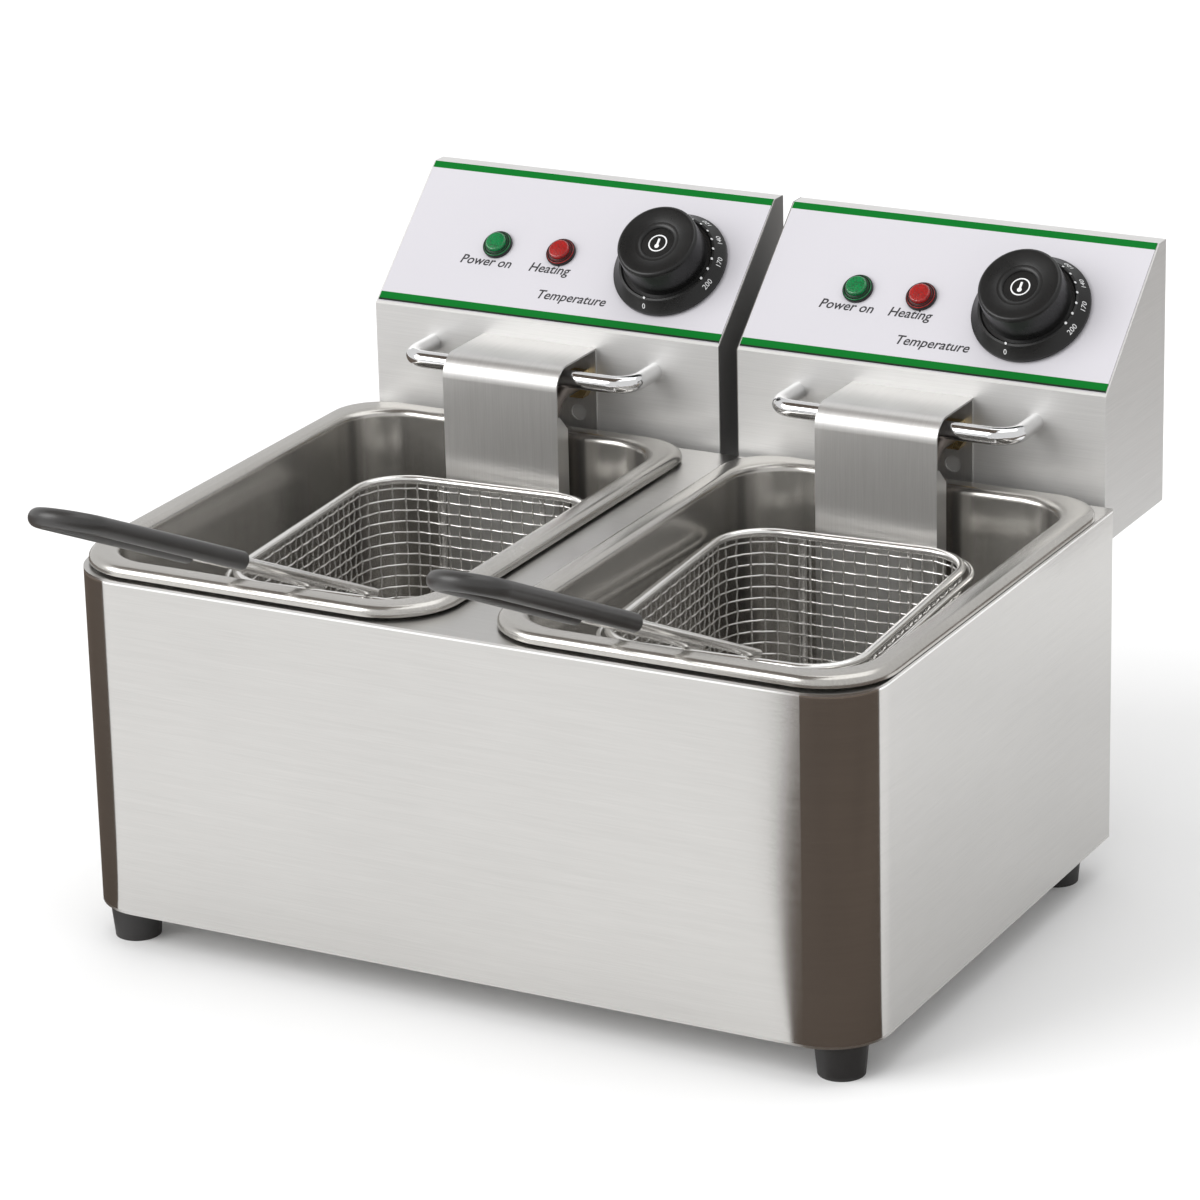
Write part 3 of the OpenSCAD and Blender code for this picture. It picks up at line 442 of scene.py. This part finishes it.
def printedFilm():
    # pale lavender film; height up the slope decides stripes and the thin line
    s, p = panel, Paint("printedFilm", Specular_IOR_Level=0.12)
    x, y, z = p.xyz()
    up = (y - s["front"]) * leanSin + (z - s["foot"]) * leanCos
    low, wide, top = s["lowStripe"], s["stripe"], s["length"] - s["stripe"] - s["margin"]
    green = (up.band(low, low + wide) + up.band(top, top + wide)).clamped()
    line = up.band(low - s["line"], low)
    fine = p.noise(1600)
    cloud = p.noise(14, 3.0)
    tone = varied(0.5, (0.5, cloud), (0.4, fine)).clamped()
    base = p.mix(tone, s["filmDark"], s["filmLight"])
    striped = p.mix(green, base, p.mix(fine, s["inkDark"], s["inkLight"]))
    rough = varied(0.36, (0.1, cloud), (0.08, fine))
    p.feed(Base_Color=p.mix(line, striped, s["lineInk"]), Roughness=rough)
    p.bump(fine, 0.00002, 0.3)
    return p.material


finish["printedFilm"] = printedFilm()

nodesOf = {
    "sheetSteel": ("housing_shell", "rear_panel"),
    "deckSteel": ("top_deck", "base_plate"),
    "headSteel": ("head_casing", "back_cover"),
    "shieldSteel": ("shield",),
    "bracketSteel": ("rear_rails", "bracket"),
    "tankSteel": ("tank",),
    "chrome": ("lift_handle",),
    "wirePlate": ("basket_frame", "basket_mesh", "basket_handle"),
    "zinc": ("foot_screws", "panel_screws", "cover_screws", "spindle", "handle_nuts"),
    "brass": ("element_nuts",),
    "copper": ("sensor",),
    "heatedTube": ("element",),
    "blackPlastic": ("knob", "thermostat", "lamp_bodies", "cutout", "gland"),
    "rubber": ("rubber_feet",),
    "vinyl": ("grip",),
    "redPlastic": ("reset_button",),
    "greenLamp": ("green_lens",),
    "redLamp": ("red_lens",),
    "printedFilm": ("label",),
}
nodeFinish = {node: finish[kind] for kind, nodes in nodesOf.items() for node in nodes}
for name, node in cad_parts.items():
    plain = name.replace("left_", "").replace("right_", "")
    for s in node.material_slots:
        s.material = nodeFinish[plain]
print("finishes set on the CAD nodes")


# Tanks

tank = {
    "pitch": 0.239, "halfX": 0.0925, "halfY": 0.1365, "middle": 0.153, "top": 0.211,
    "depth": 0.150, "wall": 0.001, "bend": 0.018, "lip": 0.0042, "flange": 0.014,
    "roll": 0.0044, "skirt": 0.0055, "inner": 0.030, "frontOuter": 0.038, "rearOuter": 0.026,
    "floorReach": 0.088, "leastCorner": 0.004, "bendSteps": 8, "cornerSteps": 14, "sharp": 50,
}


def roundedRings(halfX, halfY, frontRadius, rearRadius, steps):
    # one ring per profile point: a rectangle with quarter-circle corners, whose front
    # and rear corners may have different radii
    q = np.linspace(0, np.pi / 2, steps)
    angle = np.concatenate([q + k * np.pi / 2 for k in range(4)])
    sx, sy = np.repeat([1, -1, -1, 1], steps), np.repeat([1, 1, -1, -1], steps)
    r = np.where(sy > 0, rearRadius[:, None], frontRadius[:, None])
    x = sx * (halfX[:, None] - r) + r * np.cos(angle)
    return x, sy * (halfY[:, None] - r) + r * np.sin(angle)


def tankPan(name, side):
    # sheet section carried round the opening: floor, bend, wall, small lip bend,
    # flange, rolled edge and skirt, then back along the underside
    t, floor, n = tank, tank["top"] - tank["depth"], tank["bendSteps"]
    w, b, e, f, top, lip = t["wall"], t["bend"], t["roll"], t["flange"], t["top"], t["lip"]
    inner = [(-t["floorReach"], floor)] + arc((-b, floor + b), (b, b), -90, 0, n)
    inner += arc((lip, top - lip), (lip, lip), 180, 90, n)
    inner += arc((f - e, top - e), (e, e), 90, 0, n) + [(f, top - t["skirt"])]
    outer = [(f - w, top - t["skirt"])] + arc((f - e, top - e), (e - w, e - w), 0, 90, n)
    outer += [(lip + w, top - w), (w, top - lip - w)]
    outer += arc((-b, floor + b), (b + w, b + w), 0, -90, n) + [(-t["floorReach"], floor - w)]
    reach, z = np.array(inner + outer).T
    # the corner radius grows with the reach, from the wall's to the flange's own
    share = np.clip(reach / f, 0, 1)
    base = np.clip(t["inner"] + np.minimum(reach, 0), t["leastCorner"], None)
    front = base + share * (t["frontOuter"] - t["inner"])
    rear = base + share * (t["rearOuter"] - t["inner"])
    x, y = roundedRings(t["halfX"] + reach, t["halfY"] + reach, front, rear, t["cornerSteps"])
    x, y = x + side * t["pitch"] / 2, y + frontY + t["middle"]
    points = np.stack([x, y, np.broadcast_to(z[:, None], x.shape)], -1)
    made = [(points, gridFaces(1, *x.shape, False, flip=True))]
    return addMesh(name + "_tank_pan", made, name + "_well", finish["tankSteel"],
                   t["sharp"], [name + "_tank"])


for name, side in sides.items():
    tankPan(name, side)
print("tanks pressed")


# Baskets: real woven wire in place of the thin tub

basket = {
    "place": 0.164, "shift": {"left": 0.009, "right": 0.012}, "turn": 3.5,
    "halfX": 0.068, "halfY": 0.092, "corner": 0.028, "top": 0.1831, "foot": 0.0829, "bend": 0.0085,
    "acrossHalves": 9.5, "alongHalves": 13.5, "hoopPitch": 0.0063, "cornerShare": 0.2929,
    "wire": 0.00060, "weave": 0.00036, "perPitch": 3, "bendSteps": 7, "sides": 6, "sharp": 80,
    "wallFade": 12, "floorFade": 0.004,
}


def basketFrame(name, side):
    x = side * (tank["pitch"] / 2 - basket["shift"][name])
    return turned((x, frontY + basket["place"], 0), basket["turn"])


def planReach(v, half, other, corner):
    # half length of the rounded plan at a sideways place v
    over = np.clip(np.abs(v) - (half - corner), 0, corner)
    return other - corner + np.sqrt(corner ** 2 - over ** 2)


def archWires(halves, pitch, crossPitch, half, other, hoops):
    # wires that go down one wall, over the floor and up the other wall; each waves
    # by a cosine whose phase steps by half a turn from wire to wire
    b, n = basket, basket["perPitch"]
    k = np.arange(-int(halves), int(halves) + 1)[:, None]
    reach = planReach(k * pitch, half, other, b["corner"])
    down = np.linspace(0, 1, int(hoops * n) + 1)[None, :]
    drop = (b["top"] - b["foot"] - b["bend"]) * down
    wave = b["weave"] * np.cos(np.pi * (drop / b["hoopPitch"] - 0.5) + np.pi * k)
    fade = np.clip((1 - down) * b["wallFade"], 0, 1) * np.clip(down * b["wallFade"], 0, 1)
    wall = np.stack([-(reach + wave * fade), b["top"] - drop + 0 * wave], -1)
    q = np.linspace(0, np.pi / 2, b["bendSteps"])[None, 1:-1]
    bendX = -(reach - b["bend"] + b["bend"] * np.cos(q))
    bend = np.stack([bendX, b["foot"] + b["bend"] - b["bend"] * np.sin(q) + 0 * reach], -1)
    run = reach - b["bend"]
    count = int(2 * (other - b["bend"]) / crossPitch * n)
    floorX = run * np.linspace(-1, 1, count)[None, :]
    edge = np.clip((run - np.abs(floorX)) / b["floorFade"], 0, 1)
    floorZ = b["foot"] + edge * b["weave"] * np.cos(np.pi * floorX / crossPitch + np.pi * k)
    across = np.array([-1.0, 1.0])
    line = np.concatenate([wall, bend, np.stack([floorX, floorZ], -1),
                           bend[:, ::-1] * across, wall[:, ::-1] * across], 1)
    return np.broadcast_to(k * pitch, line.shape[:2]), line[..., 0], line[..., 1]


def hoopWires(hoops, pitchX, pitchY):
    # level rings round the wall, waving opposite to the arches they cross
    b = basket
    x, y = (np.linspace(-n * pitch, n * pitch, int(2 * n * b["perPitch"]) + 1)[:-1]
            for n, pitch in ((b["acrossHalves"], pitchX), (b["alongHalves"], pitchY)))
    reachY = planReach(x, b["halfX"], b["halfY"], b["corner"])
    reachX = planReach(y, b["halfY"], b["halfX"], b["corner"])
    # front and right sides first, then the same turned half round
    plan = np.concatenate([np.stack([x, -reachY], -1), np.stack([reachX, y], -1)])
    normal = np.repeat([(0.0, -1.0), (1.0, 0.0)], [len(x), len(y)], axis=0)
    phase = np.concatenate([x / pitchX, y / pitchY])
    plan, normal, phase = (np.concatenate([v, -v]) for v in (plan, normal, phase))
    j = np.arange(hoops)[:, None]
    wave = -b["weave"] * np.cos(np.pi * phase + np.pi * j)
    z = b["top"] - (0.5 + j) * b["hoopPitch"] + 0 * wave
    return np.concatenate([plan + wave[..., None] * normal, z[..., None]], -1)


def wovenBasket(name, side):
    b, m = basket, basketFrame(name, side)
    # the straight part and half of each corner's arc are shared out among the wires
    pitchX = (b["halfX"] - b["cornerShare"] * b["corner"]) / b["acrossHalves"]
    pitchY = (b["halfY"] - b["cornerShare"] * b["corner"]) / b["alongHalves"]
    hoops = int((b["top"] - b["foot"] - b["bend"]) / b["hoopPitch"])
    v, run, z = archWires(b["acrossHalves"], pitchX, pitchY, b["halfX"], b["halfY"], hoops)
    parts = [(np.stack([v, run, z], -1), (1.0, 0, 0), False)]
    v, run, z = archWires(b["alongHalves"], pitchY, pitchX, b["halfY"], b["halfX"], hoops)
    parts += [(np.stack([-run, v, z], -1), (0, 1.0, 0), False)]
    parts += [(hoopWires(hoops, pitchX, pitchY), (0, 0, 1.0), True)]
    made = []
    for paths, flat, closed in parts:
        rings = tubeRings(paths, b["wire"], flat, b["sides"], closed)
        made.append((carried(rings.reshape(-1, 3), m), gridFaces(*rings.shape[:3], closed)))
    return addMesh(name + "_woven_basket", made, name + "_basket", finish["wirePlate"],
                   b["sharp"], [name + "_basket_mesh"])


for name, side in sides.items():
    wovenBasket(name, side)
print("baskets woven")


# Knobs, dial marks and lamps

knob = {
    "skirt": 0.0325, "groove": 0.0252, "cap": 0.0222, "dish": 0.0125, "height": 0.027,
    "foot": 0.0011, "sides": 96, "sharp": 28,
    # radius past the circle named, height over the foot
    "boreSteps": [(0.0046, 0.006), (0.0046, 0.0)],
    "skirtSteps": [(-0.0008, 0.0), (0.0, 0.0006), (0.0, 0.0022), (-0.0010, 0.0030)],
    "grooveSteps": [(0.0022, 0.0078), (0.0010, 0.0081), (0.0, 0.0072)],
    "drumStep": (0.0012, 0.0074),
    # the shoulder's arc, and drops below the top of the cap
    "shoulderIn": 0.0014, "shoulderDrop": 0.0030, "shoulderHalf": (0.0020, 0.0022),
    "edgeDrop": 0.0008, "dishDrop": 0.0011, "flatHalf": (0.0032, 0.0016),
    "middle": (0.0006, 0.0036), "arcSteps": 7, "dishSteps": 14,
}


def knobBody(name, side):
    # stepped skirt, grooved drum, rounded shoulder and a dish with a flat middle
    k, m, n = knob, onPanel(side, panel["knob"], panel["row"]), knob["arcSteps"]
    top, shoulder = k["height"] + panel["film"], k["cap"] - k["shoulderIn"]
    outline = [
        (radius + r, k["foot"] + z)
        for radius, steps in ((0.0, k["boreSteps"]), (k["skirt"], k["skirtSteps"]),
                              (k["groove"], k["grooveSteps"]), (k["cap"], [k["drumStep"]]))
        for r, z in steps
    ]
    outline += [(shoulder + k["shoulderHalf"][0], top - k["shoulderDrop"])]
    outline += arc((shoulder, top - k["shoulderDrop"]), k["shoulderHalf"], 0, 90, n)
    # the dish falls with the square of the way in from the shoulder
    d = np.linspace(0, 1, k["dishSteps"])[1:]
    fall = top - k["edgeDrop"] - k["dishDrop"] * d ** 2
    outline += list(zip(shoulder - (shoulder - k["dish"]) * d, fall))
    outline += arc((k["dish"], fall[-1] - k["flatHalf"][1]), k["flatHalf"], 90, 180, n)
    outline += [(k["middle"][0], top - k["middle"][1])]
    return addMesh(name + "_dial_knob", [revolved(outline, m, k["sides"])], name + "_dial",
                   finish["blackPlastic"], k["sharp"], [name + "_knob"])


def flatText(body, size, m, shear=0.0, lift=0.00004, bold=0.0):
    # lettering as a thin closed mesh, laid in the frame's XY plane
    curve = bpy.data.curves.new("lettering", "FONT")
    curve.body, curve.size, curve.shear = body, size, shear
    curve.extrude, curve.offset, curve.resolution_u = lift, bold, 3
    curve.align_x, curve.align_y = "CENTER", "CENTER"
    holder = bpy.data.objects.new("lettering", curve)
    bpy.context.scene.collection.objects.link(holder)
    graph = bpy.context.evaluated_depsgraph_get()
    mesh = bpy.data.meshes.new_from_object(holder.evaluated_get(graph))
    shape = bmesh.new()
    shape.from_mesh(mesh)
    bmesh.ops.remove_doubles(shape, verts=shape.verts, dist=1e-6)
    bmesh.ops.recalc_face_normals(shape, faces=shape.faces)
    shape.to_mesh(mesh)
    shape.free()
    co = np.zeros(len(mesh.vertices) * 3)
    mesh.vertices.foreach_get("co", co)
    faces = {}
    for p in mesh.polygons:
        faces.setdefault(len(p.vertices), []).append(tuple(p.vertices))
    bpy.data.objects.remove(holder)
    bpy.data.curves.remove(curve)
    bpy.data.meshes.remove(mesh)
    return carried(co.reshape(-1, 3), m), [np.array(f) for f in faces.values()]


marks = {
    "numbers": [(-98, "0"), (165, "60"), (128, "80"), (91, "100"), (62, "120"), (34, "140"),
                (6, "170"), (-22, "200")],
    "between": [-8, 20, 48, 76], "dotRadius": 0.00075, "dotAt": 0.0268, "dotSides": 12,
    "dotLevels": (-0.00006, 0.00002, 0.0001), "textAt": 0.0300, "textSize": 0.0042,
    "lift": 0.00004, "sharp": 30,
}


def skirtFrame(side, degrees, radius):
    # frame on the cone of the skirt: Y points to the knob's middle, Z out of the cone
    k, m = knob, onPanel(side, panel["knob"], panel["row"])
    (lowR, lowZ), (highR, highZ) = k["skirtSteps"][-1], k["grooveSteps"][0]
    lowR, lowZ = k["skirt"] + lowR, k["foot"] + lowZ
    highR, highZ = k["groove"] + highR, k["foot"] + highZ
    z = lowZ + (highZ - lowZ) * (lowR - radius) / (lowR - highR)
    a = math.radians(degrees)
    out = np.array([math.cos(a), math.sin(a), 0])
    slope = unit(np.array([*(-out[:2] * (lowR - highR)), highZ - lowZ]))
    normal = np.cross((-math.sin(a), math.cos(a), 0), slope)
    normal = normal if normal[2] > 0 else -normal
    origin = out * radius + np.array([0, 0, z]) + normal * marks["lift"]
    return m @ frameAt(origin, np.cross(slope, normal), slope, normal)


def dialMarks(name, side):
    # numbers outside and raised dots inside, on the cone of the skirt
    k, r = marks, marks["dotRadius"]
    parts = [flatText(body, k["textSize"], skirtFrame(side, degrees, k["textAt"]))
             for degrees, body in k["numbers"]]
    foot, rim, top = k["dotLevels"]
    dot = [(r, foot), (r, rim), (r * 0.8, top), (0.00012, top)]
    for degrees in [d for d, _ in k["numbers"]] + k["between"]:
        parts.append(revolved(dot, skirtFrame(side, degrees, k["dotAt"]), k["dotSides"]))
    return addMesh(name + "_dial_marks", parts, name + "_dial", finish["whitePrint"], sharp=k["sharp"])


sign = {
    "ring": 0.0050, "ringWire": 0.00042, "stemWire": 0.00065, "squash": (1, 1, 0.3), "lift": 0.00006,
    "bulb": 0.0013, "bulbAt": -0.0018, "stemFrom": -0.001, "stemTo": 0.0029,
    "ringSteps": 40, "stemSteps": 12, "bulbSides": 20, "wireSides": 8,
}


def capSign(name, side):
    # plain thermometer sign in a ring, in the flat middle of the dish
    s, h, n, count = sign, sign["lift"], sign["wireSides"], sign["stemSteps"]
    height = knob["height"] + panel["film"] - knob["middle"][1]
    m = onPanel(side, panel["knob"], panel["row"], height)
    a = np.arange(s["ringSteps"]) * 2 * np.pi / s["ringSteps"]
    loop = np.stack([s["ring"] * np.cos(a), s["ring"] * np.sin(a), 0 * a + h], -1)[None]
    ring = tubeRings(loop, s["ringWire"], (0, 0, 1.0), n, True) * np.array(s["squash"])
    y = np.linspace(s["stemFrom"], s["stemTo"], count)
    line = np.stack([0 * y, y, 0 * y + h], -1)[None]
    stem = tubeRings(line, s["stemWire"], (0, 0, 1.0), n, False) * np.array(s["squash"])
    profile = [(s["bulb"], -h), (s["bulb"], h), (0.0011, 2 * h), (0.0002, 2 * h)]
    bulb = revolved(profile, m @ turned((0, s["bulbAt"], 0), 0), s["bulbSides"])
    parts = [(carried(ring.reshape(-1, 3), m), gridFaces(1, s["ringSteps"], n, True)), bulb,
             (carried(stem.reshape(-1, 3), m), gridFaces(1, count, n, False))]
    return addMesh(name + "_cap_sign", parts, name + "_dial", finish["whitePrint"], sharp=40)


lamp = {
    "bezel": 0.0085, "ring": 0.0079, "drum": 0.0058, "lens": 0.0052, "seam": 0.0004,
    "domeFoot": [(0.0060, 0.0002), (0.0079, 0.0009), (0.0079, 0.0018)],
    "ringHalf": (0.0006, 0.0005), "ringHeight": 0.0018, "drumFoot": (0.0004, 0.0024),
    "drumHeight": 0.0029, "drumHalf": (0.0009, 0.0009), "tip": (0.0004, 0.0002),
    "rimHeight": 0.0012, "rimHigh": 0.0008, "rimInside": 0.0062, "rimFloor": (0.0004, 0.0003),
    "seamOut": 0.0003, "seamHeight": 0.0026, "jewelSides": 40, "rimSides": 48, "sharp": 35,
}


def lampParts(name, side):
    # a stepped jewel with a domed drum; round it a bezel's bead, and a thin dark ring that stands in for
    # the shade and dark reflection between the jewel's flange and drum
    s, bezelsAndShadeRings = lamp, []
    dome = s["domeFoot"] + arc((s["ring"] - s["ringHalf"][0], s["ringHeight"]), s["ringHalf"], 0, 90, 6)[1:]
    dome += [(s["drum"] + s["drumFoot"][0], s["drumFoot"][1]), (s["drum"], s["drumHeight"])]
    drumMiddle = (s["drum"] - s["drumHalf"][0], s["lens"] - s["drumHalf"][1])
    dome += arc(drumMiddle, s["drumHalf"], 0, 90, 6) + [(s["tip"][0], s["lens"] + s["tip"][1])]
    middle, half = (s["bezel"] + s["ring"]) / 2, (s["bezel"] - s["ring"]) / 2
    rim = [(middle + half, 0.0)] + arc((middle, s["rimHeight"]), (half, s["rimHigh"]), 0, 180, 9)
    rim += [(middle - half, s["rimFloor"][0]), (s["rimInside"], s["rimFloor"][1]), (s["rimInside"], 0.0)]
    # painted shade: a thin dark ring in black plastic is put between the jewel's flange and drum, where
    # there is only shade and a dark reflection
    seam = arc((s["drum"] + s["seamOut"], s["seamHeight"]), (s["seam"], s["seam"]), 0, 315, 8)
    for tint in ("green", "red"):
        m = onPanel(side, panel[tint], panel["row"], panel["film"])
        addMesh(f"{name}_{tint}_jewel", [revolved(dome, m, s["jewelSides"])], name + "_head",
                finish[tint + "Lamp"], s["sharp"], [f"{name}_{tint}_lens"])
        for profile in (rim, seam):
            points = revolved(profile, m, s["rimSides"])[0]
            bezelsAndShadeRings.append((points, gridFaces(1, len(profile), s["rimSides"], True)))
    addMesh(name + "_lamp_rims", bezelsAndShadeRings, name + "_head", finish["blackPlastic"], s["sharp"])


words = {
    "size": 0.0080, "shear": 0.25, "lift": 0.00003, "bold": 0.00009, "sharp": 30,
    "rows": [("Power on", 0.0530, 0.0345), ("Heating", 0.0900, 0.0345), ("Temperature", 0.1085, 0.0180)],
}


def panelWords(name, side):
    # generic function words under the lamps and beside the dial
    w, parts = words, []
    for body, fromLeft, up in w["rows"]:
        m = onPanel(side, fromLeft, up, panel["film"] + w["lift"])
        parts.append(flatText(body, w["size"], m, w["shear"], w["lift"], w["bold"]))
    return addMesh(name + "_panel_words", parts, name + "_head", finish["blackPrint"], sharp=w["sharp"])


for name, side in sides.items():
    knobBody(name, side)
    dialMarks(name, side)
    capSign(name, side)
    lampParts(name, side)
    panelWords(name, side)
print("controls made")


# Stage, light and camera

def stageMesh(name, points, paint, seen=True):
    # one flat face through the points; an unseen one shows in reflections alone
    mesh = bpy.data.meshes.new(name)
    mesh.from_pydata(points, [], [tuple(range(len(points)))])
    mesh.materials.append(paint)
    thing = bpy.data.objects.new(name, mesh)
    bpy.context.scene.collection.objects.link(thing)
    if not seen:
        thing.visible_camera = thing.visible_diffuse = thing.visible_shadow = False
        thing.visible_transmission = False


floor = {"half": 6, "cloud": 2.5, "dark": (0.93, 0.93, 0.93), "light": (0.96, 0.96, 0.96)}


def paleFloor():
    p = Paint("paleFloor", Roughness=0.7, Specular_IOR_Level=0.1)
    p.feed(Base_Color=p.mix(p.noise(floor["cloud"], 3.0), floor["dark"], floor["light"]))
    h = floor["half"]
    stageMesh("floor", [(-h, -h, 0), (h, -h, 0), (h, h, 0), (-h, h, 0)], p.material)


cards = {
    "dark": (0.072, 0.053, 0.040), "lighter": 1.5, "cloud": 3, "level": 0.0015, "overhead": 2.0,
    # the right card's near edge runs back along this bearing, bowed by a half sine
    "bearing": 26.2, "edgeX": 0.189, "bow": 0.007, "edgeLength": 0.48, "edgeSteps": 9, "beyond": 1.6,
    "right": [(2.5, -3.0), (3.0, 0.6), (1.525, frontY + 0.9), (0.2262, frontY + 0.030)],
    "left": [(-0.216, frontY + 0.004), (-0.236, frontY + 0.03), (-1.09, 1.45), (-3.0, 1.3),
             (-3.0, -0.2), (-2.38, -1.62)],
    "rear": [(0.46, 0.62), (3.2, 0.62), (3.2, 3.2), (0.46, 3.2)],
    "above": [(-1.9, -1.2), (-1.9, 0.5), (0.1, 0.5), (0.1, -1.2)],
}


def darkCards():
    # dark cards that only reflections see: right of the front, left, behind and overhead
    s, p = cards, Paint("darkFlag", Roughness=1.0)
    p.feed(Base_Color=p.mix(p.noise(s["cloud"]), s["dark"], tuple(c * s["lighter"] for c in s["dark"])))
    bearing = math.radians(s["bearing"])
    back = np.array([-math.sin(bearing), -math.cos(bearing)])
    t = np.linspace(0.0, s["edgeLength"], s["edgeSteps"])
    bowed = s["edgeX"] - s["bow"] * np.sin(np.pi * t / s["edgeLength"])
    edge = np.stack([bowed, np.full(len(t), frontY)], -1) + back * t[:, None]
    right = [*edge.tolist(), (edge[-1] + back * s["beyond"]).tolist(), *s["right"]]
    plans = {"rightFlag": right, "leftFlag": s["left"], "rearFlag": s["rear"], "overheadFlag": s["above"]}
    for name, plan in plans.items():
        z = s["overhead"] if name == "overheadFlag" else s["level"]
        stageMesh(name, [(x, y, z) for x, y in plan], p.material, seen=False)


paleFloor()
darkCards()

lights = {
    "topPlace": (0.3, 0.5, 2.6), "topAim": (0, 0.05, 0.2), "topSize": 2.2, "topPower": 16,
    "sunWay": (-0.80, -0.80, 0.68), "sunPower": 1.9, "sunSpread": 45, "sunDistance": 4,
    "room": 0.78, "roomColour": (1.0, 1.0, 1.0, 1),
}


def hang(data, place, back):
    # a light shines along minus Z, so its Z axis is turned back, away from what it lights
    right = unit(np.cross((0, 0, 1.0), back))
    light = bpy.data.objects.new(data.name, data)
    light.matrix_world = Matrix(frameAt(place, right, np.cross(back, right), back).tolist())
    bpy.context.scene.collection.objects.link(light)


def setLights():
    # a broad soft sun, a large panel overhead and a white room
    s = lights
    top = bpy.data.lights.new("topLight", "AREA")
    top.shape, top.size, top.size_y, top.energy = "RECTANGLE", s["topSize"], s["topSize"], s["topPower"]
    hang(top, s["topPlace"], unit(np.array(s["topPlace"]) - np.array(s["topAim"])))
    sun = bpy.data.lights.new("keySun", "SUN")
    sun.energy, sun.angle = s["sunPower"], math.radians(s["sunSpread"])
    way = unit(np.array(s["sunWay"]))
    hang(sun, way * s["sunDistance"], way)
    world = bpy.data.worlds.new("softRoom")
    world.use_nodes = True
    room = world.node_tree.nodes["Background"].inputs
    room["Color"].default_value, room["Strength"].default_value = s["roomColour"], s["room"]
    bpy.context.scene.world = world
    bpy.context.scene.view_settings.view_transform = "Standard"


setLights()

view = {
    "azimuth": 28.82, "elevation": 19.87, "roll": -1.6, "distance": 2.7925,
    "target": (-0.08097, frontY + 0.25863, 0.11982), "lens": 154.02, "shift": (0.0395, 0.0076),
    "sensor": 36.0, "near": 0.05, "far": 60,
}


def placeCamera():
    # camera on a sphere round the target, rolled about its own axis
    a, e, r = (math.radians(view[k]) for k in ("azimuth", "elevation", "roll"))
    back = np.array([math.sin(a) * math.cos(e), -math.cos(a) * math.cos(e), math.sin(e)])
    right = unit(np.cross((0, 0, 1.0), back))
    up = np.cross(back, right)
    right, up = right * math.cos(r) + up * math.sin(r), up * math.cos(r) - right * math.sin(r)
    data = bpy.data.cameras.new("camera")
    data.lens, data.sensor_width = view["lens"], view["sensor"]
    data.shift_x, data.shift_y = view["shift"]
    data.clip_start, data.clip_end = view["near"], view["far"]
    camera = bpy.data.objects.new("camera", data)
    place = np.array(view["target"]) + back * view["distance"]
    camera.matrix_world = Matrix(frameAt(place, right, up, back).tolist())
    bpy.context.scene.collection.objects.link(camera)
    bpy.context.scene.camera = camera


placeCamera()
print("stage, light and camera set")
